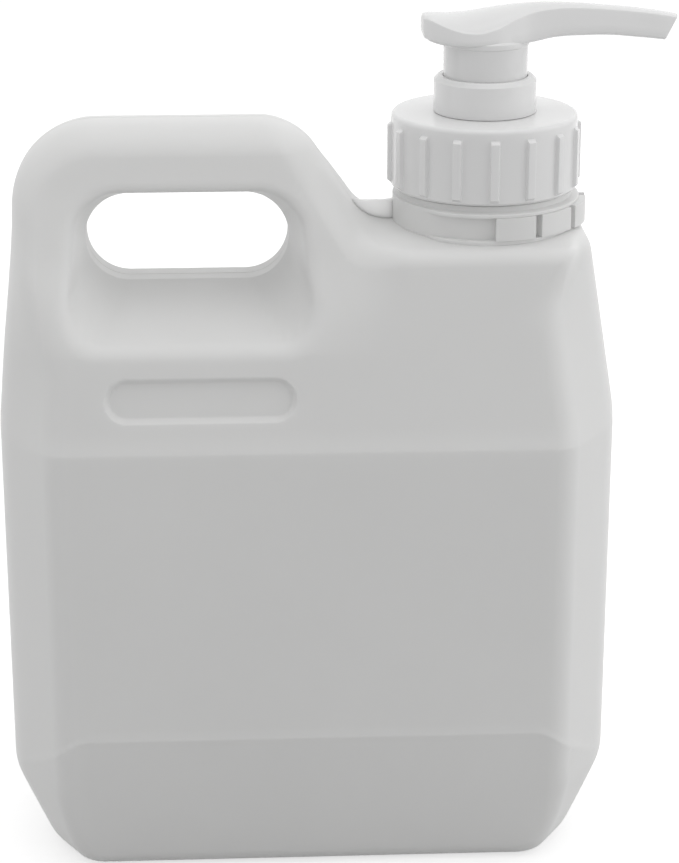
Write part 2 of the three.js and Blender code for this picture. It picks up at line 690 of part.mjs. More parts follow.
function lockRingSolid() {
  const bore = SKIRT_RADIUS + FIT_GAP;
  const guideBore = STEM_RADIUS + FIT_GAP;
  const guideRadius = BARREL_RADIUS - FIT_GAP;
  return turned([
    [guideBore, GUIDE_BOTTOM],
    [guideRadius, GUIDE_BOTTOM],
    [guideRadius, LOCK_RING_BASE],
    [LOCK_RING_RADIUS, LOCK_RING_BASE],
    [LOCK_RING_RADIUS, LOCK_RING_TOP - LOCK_RING_CHAMFER],
    [LOCK_RING_RADIUS - LOCK_RING_CHAMFER, LOCK_RING_TOP],
    [bore, LOCK_RING_TOP],
    [bore, LOCK_RING_FLOOR_TOP],
    [guideBore, LOCK_RING_FLOOR_TOP],
  ], 48);
}

// Piston, its seat and the return spring

const PISTON_TOP = GUIDE_BOTTOM - FIT_GAP;
const PISTON_BOTTOM = PISTON_TOP - PISTON_LENGTH;
const SEAT_TOP = PISTON_BOTTOM - FIT_GAP;
const SEAT_BOTTOM = SEAT_TOP - SEAT_THICKNESS;
const STEM_BOTTOM = SEAT_TOP + FIT_GAP;

function pistonSolid() {
  const outer = BARREL_RADIUS - PISTON_CLEARANCE;
  const waist = outer - 0.8;
  const lip = PISTON_LENGTH / 4;
  return turned([
    [STEM_RADIUS + FIT_GAP, PISTON_BOTTOM],
    [outer, PISTON_BOTTOM],
    [waist, PISTON_BOTTOM + lip],
    [waist, PISTON_TOP - lip],
    [outer, PISTON_TOP],
    [STEM_RADIUS + FIT_GAP, PISTON_TOP],
  ], SMALL_ROUND_STEPS);
}

function seatSolid() {
  const plugRadius = STEM_BORE_RADIUS - SEAT_PLUG_GAP;
  return turned([
    [0, SEAT_BOTTOM],
    [SEAT_RADIUS, SEAT_BOTTOM],
    [SEAT_RADIUS, SEAT_TOP],
    [plugRadius, SEAT_TOP],
    [plugRadius, SEAT_TOP + SEAT_PLUG_LENGTH],
    [0, SEAT_TOP + SEAT_PLUG_LENGTH],
  ], SMALL_ROUND_STEPS);
}

class Helix extends THREE.Curve {
  constructor(radius, bottom, top, turns) {
    super();
    Object.assign(this, { radius, bottom, top, turns });
  }

  getPoint(share, target = new THREE.Vector3()) {
    const angle = share * this.turns * Math.PI * 2;
    const z = THREE.MathUtils.lerp(this.bottom, this.top, share);
    return target.set(this.radius * Math.cos(angle), this.radius * Math.sin(angle), z);
  }
}

function springSolid() {
  const bottom = BARREL_FLOOR + FIT_GAP + SPRING_WIRE_RADIUS;
  const top = SEAT_BOTTOM - FIT_GAP - SPRING_WIRE_RADIUS;
  const path = new Helix(SPRING_MEAN_RADIUS, bottom, top, SPRING_TURNS);
  const wire = new THREE.Shape().absarc(0, 0, SPRING_WIRE_RADIUS, 0, Math.PI * 2);
  const geometry = new THREE.ExtrudeGeometry(wire, {
    steps: SPRING_TURNS * 10,
    curveSegments: 3,
    extrudePath: path,
    bevelEnabled: false,
  });
  geometry.translate(PUMP_AXIS_X, 0, 0);
  return solidOf(geometry);
}

// Actuator head

const STEM_SOCKET_TOP = HEAD_BOTTOM + STEM_SOCKET_RISE;
const STEM_TOP = STEM_SOCKET_TOP - FIT_GAP;

// The head along X: [reach from the axis, half width], then the heights above the head's bottom
// of the crest, the rim and the underside.
const HEAD_SECTIONS = [
  [-HEAD_LEFT_REACH, 2.5, 6.2, 5.2, 2.2],
  [-HEAD_LEFT_REACH + 0.8, 4.5, 6.8, 6, 1.5],
  [-13, 7.2, 6.9, 5.3, 0.6],
  [-10, 9.1, 6.9, 4.2, 0],
  [-6.5, 10.4, 7, 3.6, 0],
  [-2.8, 10.9, 7.5, 3.5, 0],
  [2, 10.2, 8.4, 4.6, 0],
  [6.8, 8.1, 9.1, 6.5, 0],
  [11, 6.3, 9.4, 7.6, 0.4],
  [17, 4.9, 9.5, 8.4, 1.4],
  [24, 4.4, 9.2, 8.5, 2],
  [31, 4.2, 8.6, 8, 2],
  [SPOUT_REACH - 10.6, 4.1, 7.5, 7, 1.6],
  [SPOUT_REACH - 4, 4, 6.3, 5.8, 0.8],
  [SPOUT_REACH + 3, 3.9, 4.8, 4.3, -0.2],
];

function headSection([reach, half, crest, rim, under]) {
  const x = PUMP_AXIS_X + reach;
  const soft = Math.min(1, half / 4);
  const lowered = rim - soft * 0.6;
  const right = [
    [half - soft, under],
    [half, under + soft],
    [half, lowered],
    [half - soft * 0.6, rim],
    [half * 0.6, THREE.MathUtils.lerp(crest, rim, 0.45)],
    [half * 0.3, THREE.MathUtils.lerp(crest, rim, 0.13)],
  ];
  const left = right.map(([y, z]) => [-y, z]).reverse();
  const outline = [...right, [0, crest], ...left];
  return outline.map(([y, z]) => new THREE.Vector3(x, y, HEAD_BOTTOM + z));
}

function headSolid() {
  const top = solidOf(loft(HEAD_SECTIONS.map(headSection)));
  const deck = disc(SKIRT_RADIUS + HEAD_STEP, HEAD_BOTTOM, HEAD_BOTTOM + 2, 48);
  const skirtBottom = LOCK_RING_TOP - SKIRT_OVERLAP;
  const skirt = ring(SKIRT_RADIUS - SKIRT_WALL, SKIRT_RADIUS, skirtBottom, HEAD_BOTTOM + 1, 48);
  const socketBore = STEM_RADIUS + FIT_GAP;
  const socketOuter = socketBore + STEM_SOCKET_WALL;
  const socketBottom = STEM_SOCKET_TOP - STEM_SOCKET_DEPTH;
  const socket = disc(socketOuter, socketBottom, HEAD_BOTTOM + 1, SMALL_ROUND_STEPS);
  const socketHole = disc(socketBore, socketBottom - 1, STEM_SOCKET_TOP, SMALL_ROUND_STEPS);
  const channelLevel = (reach) => {
    const after = HEAD_SECTIONS.findIndex(([r]) => r >= reach);
    const [, , crest, , under] = HEAD_SECTIONS[after];
    return HEAD_BOTTOM + (crest + under) / 2;
  };
  const bend = [0, 1, 12, 24, 38, SPOUT_REACH + 4];
  const route = bend.map((reach) => new THREE.Vector3(
    PUMP_AXIS_X + reach,
    0,
    channelLevel(Math.min(reach, SPOUT_REACH)),
  ));
  route[0].z = STEM_SOCKET_TOP - 0.5;
  route[1].z -= 1;
  const circle = new THREE.Shape().absarc(0, 0, CHANNEL_RADIUS, 0, Math.PI * 2);
  const channel = new THREE.ExtrudeGeometry(circle, {
    steps: 14,
    curveSegments: 5,
    extrudePath: new THREE.CatmullRomCurve3(route, false, "catmullrom", 0.3),
    bevelEnabled: false,
  });
  const cutter = box(20, 20, 30, 10, 0, 0)
    .rotate([0, SPOUT_CUT_DEGREES, 0])
    .translate([PUMP_AXIS_X + SPOUT_REACH - 1.2, 0, HEAD_BOTTOM + 3.1]);
  return join([top, deck, skirt, socket])
    .subtract(socketHole)
    .subtract(solidOf(channel))
    .subtract(cutter);
}

function stemSolid() {
  return ring(STEM_BORE_RADIUS, STEM_RADIUS, STEM_BOTTOM, STEM_TOP, 24);
}

// Materials and the finished group

const plastic = (colour, roughness) =>
  new THREE.MeshStandardMaterial({ color: colour, roughness, metalness: 0 });
const steel = () => new THREE.MeshStandardMaterial({ color: 0xb9bbbd, roughness: 0.3, metalness: 1 });

function piece(name, solid, material) {
  const mesh = new THREE.Mesh(geometryOf(solid), material);
  mesh.name = name;
  return mesh;
}

const pumpBottle = new THREE.Group();
pumpBottle.add(
  piece("bottle", bottleSolid(), plastic(0xf2f2f1, 0.5)),
  piece("screw_collar", collarSolid(), plastic(0xf5f5f5, 0.35)),
  piece("neck_gasket", gasketSolid(), plastic(0xe9ebe8, 0.7)),
  piece("pump_housing", housingSolid(), plastic(0xeff0ee, 0.4)),
  piece("inlet_ball", ballSolid(), steel()),
  piece("dip_tube", dipTubeSolid(), plastic(0xeceeec, 0.35)),
  piece("lock_ring", lockRingSolid(), plastic(0xf5f5f5, 0.35)),
  piece("return_spring", springSolid(), steel()),
  piece("piston", pistonSolid(), plastic(0xe6e8e6, 0.5)),
  piece("piston_seat", seatSolid(), plastic(0xeff0ee, 0.45)),
  piece("stem", stemSolid(), plastic(0xf3f3f2, 0.4)),
  piece("actuator_head", headSolid(), plastic(0xf6f6f6, 0.3)),
);

export default pumpBottle;
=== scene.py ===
"""White handled bottle with a screw collar and a lotion pump.

Shapes are worked out in millimetres in the part's own frame: X along the width,
Y from the front face to the back face, Z up from the base.
"""
import contextlib
import math

import bmesh
import bpy
import numpy as np
from mathutils import Matrix, Vector


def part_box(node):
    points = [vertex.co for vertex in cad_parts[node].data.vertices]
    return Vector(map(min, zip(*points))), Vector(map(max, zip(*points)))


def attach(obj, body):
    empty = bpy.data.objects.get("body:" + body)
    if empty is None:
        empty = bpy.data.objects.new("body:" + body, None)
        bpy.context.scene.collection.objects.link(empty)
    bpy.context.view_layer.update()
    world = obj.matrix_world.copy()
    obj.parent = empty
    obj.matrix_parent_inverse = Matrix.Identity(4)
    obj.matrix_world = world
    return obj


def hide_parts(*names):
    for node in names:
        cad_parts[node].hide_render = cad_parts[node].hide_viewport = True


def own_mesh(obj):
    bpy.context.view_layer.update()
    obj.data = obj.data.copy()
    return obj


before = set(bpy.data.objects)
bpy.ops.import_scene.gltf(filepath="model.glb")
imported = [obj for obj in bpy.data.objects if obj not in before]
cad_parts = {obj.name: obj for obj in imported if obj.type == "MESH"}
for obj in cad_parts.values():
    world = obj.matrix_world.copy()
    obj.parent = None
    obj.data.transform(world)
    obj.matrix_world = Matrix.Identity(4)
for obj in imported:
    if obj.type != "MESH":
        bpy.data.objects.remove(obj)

bl_info = {
    "name": "Pump bottle",
    "version": (1, 0, 0),
    "blender": (4, 5, 0),
    "location": "3D View > Sidebar > Pump bottle",
    "description": "Builds a handled bottle with a screw collar and a lotion pump",
    "category": "Add Mesh",
}

MM = 0.001


def node_size(node):
    """Corners of a CAD node in millimetres."""
    low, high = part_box(node)
    return np.array(low) / MM, np.array(high) / MM


BOTTLE_LOW, BOTTLE_HIGH = node_size("bottle")
COLLAR_LOW, COLLAR_HIGH = node_size("screw_collar")
RING_LOW, RING_HIGH = node_size("lock_ring")
HEAD_END = float(node_size("actuator_head")[1][0])

PUMP_AXIS_X = float(RING_LOW[0] + RING_HIGH[0]) / 2
COLLAR_BOTTOM = float(COLLAR_LOW[2])
COLLAR_TOP = float(COLLAR_HIGH[2])
HANDLE_TOP = float(BOTTLE_HIGH[2])
LOCK_RING_TOP = float(RING_HIGH[2])
HEAD_BOTTOM = LOCK_RING_TOP + 8.8
FIT_GAP = 0.3  # over the neck's mouth, and between the collar and the lock ring


# Profiles of the bottle, as (place, value) pairs in millimetres

FRONT_DEPTH = [
    (-5, 33.8), (0, 35.0), (39.7, 42.0), (118.8, 41.5), (122.8, 40.0), (165.0, 29.8), (215, 17.6),
]
HANDLE_DEPTH = [
    (-5, 60.0), (100, 60.0), (138, 38.0), (150, 30.8), (165, 22.8), (180, 16.2), (191, 12.4),
    (215, 6.0),
]
SIDE_LEFT = [
    (-5, 67.2), (0, 69.4), (24, 79.2), (121.6, 79.2), (168.4, 75.1), (176, 74.9), (215, 74.9),
]
SIDE_RIGHT = [(-5, 67.2), (0, 69.4), (24, 79.2), (121.6, 79.2), (168.4, 72.0), (215, 65.0)]
PROFILE_SOFTNESS = 2.0

# Heights and roundings of the bottle's forms

UPPER_RING = 118.8
LOWER_RING, LOWER_BEAD, BEAD_WIDTH = 40.6, 0.28, 1.1
RING_DIP = 14.0  # how far the rings drop round the upright corners
SHOULDER_TOP, CROWN, SHOULDER_EDGE = 168.4, 1.6, 3.3
SLOPE_FOOT, SLOPE_FACING = (5.2, 183.8), (0.834, 0.551)  # the handle's slope towards the neck
HANDLE_END_X, HANDLE_ROUND, HANDLE_BLEND = 24.0, 7.5, 5.0
ROUND_CORNER = 2.0  # power of a round corner
BODY_CORNER, BODY_CORNER_BELOW, BODY_CORNER_REACH, BODY_CORNER_POWER = 12.4, 9.5, 0.575, 1.36
FLAT_CORNER, FLAT_CORNER_BELOW, FLAT_CORNER_REACH, FLAT_CORNER_CUT = 14.2, 10.5, 0.5, 0.25
HANDLE_REACH = 0.93
BASE_EDGE, HOLE_EDGE = 5.0, 3.0

HOLE_LEFT, HOLE_RIGHT = -56.4, -4.4
HOLE_FLOOR, HOLE_TOP = 154.2, 177.0
HOLE_ROUND = 11.3
PINCH_DEPTH = 5.0  # how deep the finger hole runs straight, either side of the middle
PANEL_X = (HOLE_LEFT + HOLE_RIGHT) / 2 + 3.0
PANEL_Z = 131.9
PANEL_LEAN = math.radians(13.6)

NECK_RADIUS, LEDGE_RADIUS, MOUTH_RADIUS = 23.4, 24.6, 19.9
NECK_TOP = 176.2
NECK_BORE = 17.4
MOUTH_TOP = float(node_size("neck_gasket")[0][2]) - FIT_GAP
THREAD_PITCH, THREAD_TURNS = 4.2, 1.5


# Small sums on arrays

def ramp(value, start, end):
    """Smooth step from 0 at start to 1 at end."""
    share = np.clip((value - start) / (end - start), 0, 1)
    return share * share * (3 - 2 * share)


def blend(a, b, share):
    """From a at share 0 to b at share 1."""
    return a + (b - a) * share


def soft_max(a, b, width):
    """The larger of two, eased over a width where they are near each other."""
    share = np.clip(0.5 + 0.5 * (a - b) / width, 0, 1)
    return b + (a - b) * share + width * share * (1 - share)


def soft_min(a, b, width):
    """The smaller of two, eased the same way."""
    return -soft_max(-a, -b, width)


def rounded_edge(a, b, reach_a, reach_b, power):
    """Distance from a shape bounded by a < 0 and b < 0, its edge rounded over the two reaches."""
    near_a, near_b = a / reach_a, b / reach_b
    over_a, over_b = np.maximum(0, near_a + 1), np.maximum(0, near_b + 1)
    over = over_a + over_b
    bulge = (over_a**power + over_b**power) ** (1 / power) - 1
    value = np.where(over > 0, bulge, np.maximum(near_a, near_b))
    share = np.where(over > 0, over_a / np.maximum(over, 1e-12), near_a > near_b)
    return value * blend(reach_b, reach_a, share)


class Profile:
    """A profile through stations, softened at its corners, with one corner kept crisp."""

    STEP = 0.1
    CRISPNESS = 0.35

    def __init__(self, stations, softness=PROFILE_SOFTNESS, crisp_at=None):
        places, values = np.array(stations, float).T
        self.places = np.arange(places[0], places[-1], self.STEP)
        straight = np.interp(self.places, places, values)
        self.values = self.softened(straight, softness)
        if crisp_at is not None:
            near = ramp(np.abs(self.places - crisp_at), 2.6, 1.2)
            self.values = blend(self.values, self.softened(straight, self.CRISPNESS), near)

    def softened(self, values, softness):
        reach = int(softness * 4 / self.STEP) + 1
        offsets = np.arange(-reach, reach + 1) * self.STEP
        weights = np.exp(-0.5 * (offsets / softness) ** 2)
        padded = np.pad(values, reach, mode="edge")
        return np.convolve(padded, weights / weights.sum(), mode="valid")

    def __call__(self, place):
        return np.interp(place, self.places, self.values)


class Shade:
    """One output in a shader graph, so that sums on it read like sums."""

    def __init__(self, graph, socket):
        self.graph = graph
        self.socket = socket

    def maths(self, operation, first, second):
        return self.graph.node("ShaderNodeMath", {"operation": operation}, [first, second])

    def __add__(self, other):
        return self.maths("ADD", self, other)

    def __radd__(self, other):
        return self.maths("ADD", other, self)

    def __mul__(self, other):
        return self.maths("MULTIPLY", self, other)

    def __rmul__(self, other):
        return self.maths("MULTIPLY", other, self)

    def __abs__(self):
        return self.graph.node("ShaderNodeMath", {"operation": "ABSOLUTE"}, [self])


class Graph:
    """A shader graph that is filled by calls."""

    def __init__(self, tree):
        self.tree = tree
        tree.nodes.clear()

    def node(self, kind, settings=(), inputs=(), output=0):
        """Adds a node of a type, sets its settings, then the values or links of its sockets."""
        made = self.tree.nodes.new(kind)
        for name, value in dict(settings).items():
            setattr(made, name, value)
        pairs = inputs.items() if isinstance(inputs, dict) else enumerate(inputs)
        for place, value in pairs:
            if isinstance(value, Shade):
                self.tree.links.new(value.socket, made.inputs[place])
            else:
                made.inputs[place].default_value = value
        return Shade(self, made.outputs[output]) if made.outputs else made

    def ramp(self, value, start, end, low=0.0, high=1.0):
        """Maps a value smoothly from one span to another."""
        settings = {"interpolation_type": "SMOOTHSTEP"}
        return self.node("ShaderNodeMapRange", settings, [value, start, end, low, high])

    def mix(self, share, low, high):
        """Mixes two colours."""
        places = {0: share, 6: low, 7: high}
        return self.node("ShaderNodeMix", {"data_type": "RGBA"}, places, output=2)

    def noise(self, place, scale, detail=2.0):
        """A cloudy pattern, its scale in clouds to the metre."""
        sockets = {"Vector": place, "Scale": scale, "Detail": detail}
        return self.node("ShaderNodeTexNoise", (), sockets)

    def bump(self, height, strength=1.0, distance=1.0):
        """The surface's facing, tilted by a height."""
        sockets = {"Strength": strength, "Distance": distance, "Height": height}
        return self.node("ShaderNodeBump", (), sockets)

    def plain_surface(self, **inputs):
        """Ends the graph in one shader, its sockets named with _ for a space."""
        sockets = {name.replace("_", " "): value for name, value in inputs.items()}
        shader = self.node("ShaderNodeBsdfPrincipled", (), sockets)
        self.node("ShaderNodeOutputMaterial", (), {"Surface": shader})


def new_finish(name):
    """A new material with its graph, and the place on the object that patterns follow."""
    material = bpy.data.materials.new(name)
    material.use_nodes = True
    graph = Graph(material.node_tree)
    return material, graph, graph.node("ShaderNodeTexCoord", output=3)


def toned(colour, factor):
    """A colour made paler or deeper."""
    return tuple(min(1.0, part * factor) for part in colour[:3]) + (1.0,)


def plastic_finish(
    name, colour, gloss, waviness, grain_scale, grain_depth, parting_line=0.0, glow=0.0,
    glow_reach=0.0035,
):
    """A moulded plastic: a little uneven in colour and gloss, with a fine grain.

    Waviness, grain depth, the height of the parting line and the reach of the glow, which is
    how far light spreads under the surface, are in metres.
    """
    material, graph, place = new_finish(name)
    broad = graph.noise(place, 18.0, 3.0)
    fine = graph.noise(place, grain_scale, 2.0)
    waves = graph.noise(place, 55.0, 1.0)
    height = fine * grain_depth + waves * waviness
    if parting_line:
        depth = graph.node("ShaderNodeSeparateXYZ", (), [place], output=1)
        height = height + graph.ramp(abs(depth), 0.00045, 0.0, 0.0, parting_line)
    graph.plain_surface(
        Base_Color=graph.mix(broad, toned(colour, 0.965), toned(colour, 1.03)),
        Roughness=graph.ramp(broad + fine * 0.1, 0.2, 0.9, gloss - 0.03, gloss + 0.03),
        Normal=graph.bump(height),
        IOR=1.5,
        Specular_IOR_Level=0.5,
        Subsurface_Weight=glow,
        Subsurface_Radius=(1.0, 1.0, 1.0),
        Subsurface_Scale=glow_reach,
    )
    return material


def foam_finish(name, colour):
    """A foamed seal: matt, with small closed cells."""
    material, graph, place = new_finish(name)
    cells = graph.node("ShaderNodeTexVoronoi", (), {"Vector": place, "Scale": 2200.0})
    patches = graph.noise(place, 160.0)
    graph.plain_surface(
        Base_Color=graph.mix(patches, toned(colour, 0.9), colour),
        Roughness=graph.ramp(cells, 0.0, 1.0, 0.7, 0.9),
        Normal=graph.bump(cells, 0.6, 0.0001),
    )
    return material


def steel_finish(name, colour, gloss):
    """Drawn wire: bright, with fine lines across its length."""
    material, graph, place = new_finish(name)
    stretch = {"operation": "MULTIPLY"}
    stretched = graph.node("ShaderNodeVectorMath", stretch, [place, (1.0, 1.0, 6.0)])
    lines = graph.noise(stretched, 1500.0)
    cloud = graph.noise(place, 200.0)
    graph.plain_surface(
        Base_Color=graph.mix(cloud, toned(colour, 0.85), colour),
        Metallic=1.0,
        Roughness=graph.ramp(lines, 0.2, 0.8, gloss - 0.06, gloss + 0.1),
        Normal=graph.bump(lines, 0.4, 0.00003),
    )
    return material


# Meshes

@contextlib.contextmanager
def editing(mesh):
    """Opens a mesh for editing, and writes it back at the end."""
    bm = bmesh.new()
    bm.from_mesh(mesh)
    yield bm
    bm.to_mesh(mesh)
    bm.free()


def mesh_from(name, points, faces):
    """A smooth mesh from points and faces."""
    mesh = bpy.data.meshes.new(name)
    mesh.from_pydata(np.asarray(points, float).tolist(), [], [list(map(int, f)) for f in faces])
    mesh.validate()
    mesh.shade_smooth()
    return mesh


def creased(mesh, angle):
    """Shades a mesh smooth, but for the edges that turn by more than an angle in degrees."""
    mesh.shade_smooth()
    mesh.set_sharp_from_angle(angle=math.radians(angle))
    return mesh


def faced_out(mesh):
    """Turns every face of a closed mesh outward."""
    with editing(mesh) as bm:
        bmesh.ops.recalc_face_normals(bm, faces=bm.faces)
    return mesh


def tube_faces(loops, size):
    """Faces between loops of points, each of one size, and a face over each end."""
    faces = [
        (i * size + j, i * size + k, (i + 1) * size + k, (i + 1) * size + j)
        for i in range(loops - 1)
        for j, k in zip(range(size), [*range(1, size), 0])
    ]
    end = (loops - 1) * size
    return faces + [tuple(range(size))[::-1], tuple(range(end, end + size))]


def corners_of(mesh):
    """The places of a mesh's vertices, one row each."""
    return np.array([v.co for v in mesh.vertices])


def placed(name, data):
    """A new object in the scene, instead of an older one of its name."""
    old = bpy.data.objects.get(name)
    if old:
        bpy.data.objects.remove(old)
    made = bpy.data.objects.new(name, data)
    bpy.context.scene.collection.objects.link(made)
    return made


def finish_piece(name, mesh, body, node, material):
    """Makes the object, in metres, and hands it to the frame in place of a CAD node."""
    mesh.transform(Matrix.Scale(MM, 4))
    mesh.materials.append(material)
    piece = placed(name, mesh)
    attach(piece, body)
    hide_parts(node)
    return piece


# Bottle

FRONT = Profile(FRONT_DEPTH, 1.3, crisp_at=UPPER_RING)
HANDLE = Profile(HANDLE_DEPTH)
LEFT = Profile(SIDE_LEFT)
RIGHT = Profile(SIDE_RIGHT)


def panel_depth(x, z, sizes):
    """How far the sunk panel lies behind the front face."""
    straight_half = (sizes["panel_length"] - sizes["panel_height"]) / 2
    along = np.maximum(np.abs(x - PANEL_X) - straight_half, 0)
    across = (z - PANEL_Z) / math.cos(PANEL_LEAN)
    edge = np.hypot(along, across) - sizes["panel_height"] / 2
    bevel = sizes["panel_bevel"]
    straight = np.clip(-edge / bevel, 0, 1)
    eased = ramp(-edge, -0.12 * bevel, 1.12 * bevel)
    return sizes["panel_sink"] * blend(straight, eased, 0.6)


def hole_form(x, y, z):
    """Distance from the space for the fingers, which flares towards the front and back."""
    flare = np.maximum(np.abs(y) - PINCH_DEPTH, 0)
    left = HOLE_LEFT - 0.155 * flare
    right = HOLE_RIGHT + 0.235 * flare
    floor = HOLE_FLOOR - 0.335 * flare
    roof = HOLE_TOP + 0.25 * flare
    radius = HOLE_ROUND - 2.0 * ramp(flare, 0.0, 26.0)
    across = np.abs(x - (left + right) / 2) - (right - left) / 2 + radius
    upright = np.abs(z - (floor + roof) / 2) - (roof - floor) / 2 + radius
    outside = np.hypot(np.maximum(across, 0), np.maximum(upright, 0))
    return outside + np.minimum(np.maximum(across, upright), 0) - radius


def front_outline(x, z):
    """Distance from the bottle's outline seen from the front, and how far it is shoulder."""
    side = x - RIGHT(z)
    left = -x - LEFT(z)
    top = z - SHOULDER_TOP
    slope = (x - SLOPE_FOOT[0]) * SLOPE_FACING[0] + (z - SLOPE_FOOT[1]) * SLOPE_FACING[1]
    bar = rounded_edge(z - HANDLE_TOP, slope, HANDLE_ROUND, HANDLE_ROUND, ROUND_CORNER)
    bar = np.maximum(bar, x - HANDLE_END_X)
    corner = blend(6.0, 22.0, ramp(z, 150.0, 176.0))
    shoulder = ramp(top - np.maximum(side, left), -6.0, 6.0)

    def outline(crown):
        body = soft_max(side, top + crown, 6.0)
        whole = soft_min(body, bar, HANDLE_BLEND)
        return rounded_edge(whole, left, corner, corner, ROUND_CORNER)

    return outline, shoulder


def bottle_form(x, y, z, sizes):
    """Distance from the bottle's outer surface, below 0 inside."""
    away = np.abs(y)
    dipped = z + RING_DIP * ramp(np.abs(x), 58.0, 80.0) * ramp(z, 80.0, 45.0)
    handle = ramp(z, 132.0, 165.0) * ramp(x, 26.0, -2.0)
    handle = np.maximum(handle, ramp(z, 168.0, 188.0))
    face = FRONT(dipped)
    depth = blend(face, np.minimum(face, HANDLE(z)), handle)
    depth = depth + LOWER_BEAD * np.exp(-(((dipped - LOWER_RING) / BEAD_WIDTH) ** 2))
    front = away - depth + panel_depth(x, z, sizes) * (y < 0)

    outline_with, shoulder = front_outline(x, z)
    on_top = shoulder * (1 - handle)
    outline = outline_with(CROWN * on_top * np.minimum(away / depth, 1.0) ** 2)

    low = ramp(z, 30.0, 8.0)
    width = blend(blend(BODY_CORNER, BODY_CORNER_BELOW, low), HANDLE_ROUND, handle)
    reach = blend(BODY_CORNER_REACH * depth, HANDLE_REACH * depth, handle)
    width, reach = blend(width, SHOULDER_EDGE, on_top), blend(reach, SHOULDER_EDGE, on_top)
    power = blend(BODY_CORNER_POWER, ROUND_CORNER, np.maximum(handle, on_top))
    form = rounded_edge(outline, front, width, reach, power)

    broad, deep = blend(FLAT_CORNER, FLAT_CORNER_BELOW, low), FLAT_CORNER_REACH * depth
    flat = (outline / broad + front / deep + 1) / np.hypot(1 / broad, 1 / deep)
    flat = soft_max(soft_max(outline, front, 2.0), flat - FLAT_CORNER_CUT, 3.2)
    form = blend(form, flat, (1 - handle) * (1 - on_top))

    form = soft_max(form, -z, BASE_EDGE)
    return soft_max(form, -hole_form(x, y, z), HOLE_EDGE)


SLOPE_STEP = 0.04


def slope_of(form, points, step=SLOPE_STEP):
    """Gradient of a form at points."""
    slopes = []
    for axis in range(3):
        shift = np.zeros(3)
        shift[axis] = step
        ahead = form(*(points + shift).T)
        behind = form(*(points - shift).T)
        slopes.append((ahead - behind) / (2 * step))
    return np.stack(slopes, axis=1)


def settled(form, points, limit, rounds=4):
    """Moves points onto the surface of a form."""
    points = points.copy()
    for _ in range(rounds):
        slopes = slope_of(form, points)
        steep = np.maximum((slopes**2).sum(1), 0.05)
        move = -(form(*points.T) / steep)[:, None] * slopes
        length = np.linalg.norm(move, axis=1, keepdims=True)
        points += move * np.minimum(1, limit / np.maximum(length, 1e-9))
    return points


def skin(form, low, high, cell):
    """Vertices and quads on the surface of a form, found on a grid of cells."""
    axes = [np.arange(a, b + cell, cell) for a, b in zip(low, high)]
    values = form(*np.meshgrid(*axes, indexing="ij"))
    inside = values < 0
    corners = [(i, j, k) for i in (0, 1) for j in (0, 1) for k in (0, 1)]
    size = [n - 1 for n in values.shape]

    def at(array, corner):
        return array[tuple(slice(c, c + n) for c, n in zip(corner, size))]

    count = sum(at(inside, c).astype(np.int8) for c in corners)
    crossed = (count > 0) & (count < 8)
    cells = np.argwhere(crossed)
    number = np.full(crossed.shape, -1)
    number[crossed] = np.arange(len(cells))
    total = np.zeros((len(cells), 3))
    hits = np.zeros((len(cells), 1))
    for start in corners:
        for axis in range(3):
            if start[axis]:
                continue
            end = list(start)
            end[axis] = 1
            v0 = values[tuple((cells + start).T)]
            v1 = values[tuple((cells + end).T)]
            hit = (v0 < 0) != (v1 < 0)
            share = np.where(hit, v0 / np.where(hit, v0 - v1, 1), 0)
            place = np.array(start, float) + np.outer(share, np.array(end) - np.array(start))
            total += place * hit[:, None]
            hits += hit[:, None]
    points = np.array([a[0] for a in axes]) + (cells + total / hits) * cell
    quads = []
    for axis in range(3):
        first, second = [a for a in range(3) if a != axis]
        here = inside[tuple(slice(0, -1) if a == axis else slice(1, -1) for a in range(3))]
        there = inside[tuple(slice(1, None) if a == axis else slice(1, -1) for a in range(3))]
        edges = np.argwhere(here != there)
        flip = here[tuple(edges.T)]
        base = edges.copy()
        base[:, first] += 1
        base[:, second] += 1
        around = []
        for a, b in ((0, 0), (1, 0), (1, 1), (0, 1)):
            cell_at = base.copy()
            cell_at[:, first] -= a
            cell_at[:, second] -= b
            around.append(number[tuple(cell_at.T)])
        loop = np.stack(around, axis=1)
        turn = flip if axis != 1 else ~flip
        loop[~turn] = loop[~turn][:, ::-1]
        quads.append(loop)
    return points, np.concatenate(quads)


def facing_of(form, points, step=SLOPE_STEP):
    """The outward direction of a form at points."""
    slopes = slope_of(form, points, step)
    return slopes / np.linalg.norm(slopes, axis=1, keepdims=True)


def refine(mesh, form, sharpness, cell):
    """Cuts faces smaller where the surface bends fast, and settles the points on the form."""
    with editing(mesh) as bm:
        bm.verts.ensure_lookup_table()
        facing = facing_of(form, np.array([v.co for v in bm.verts]))
        ends = np.array([[v.index for v in e.verts] for e in bm.edges])
        turn = (facing[ends[:, 0]] * facing[ends[:, 1]]).sum(1)
        bent = turn < math.cos(math.radians(sharpness))
        marked = np.zeros(len(facing), bool)
        marked[ends[bent].ravel()] = True
        chosen = [e for e in bm.edges if marked[e.verts[0].index] and marked[e.verts[1].index]]
        bmesh.ops.subdivide_edges(bm, edges=chosen, cuts=1, use_grid_fill=True)
    points = settled(form, corners_of(mesh), cell / 2, 3)
    mesh.vertices.foreach_set("co", points.ravel())


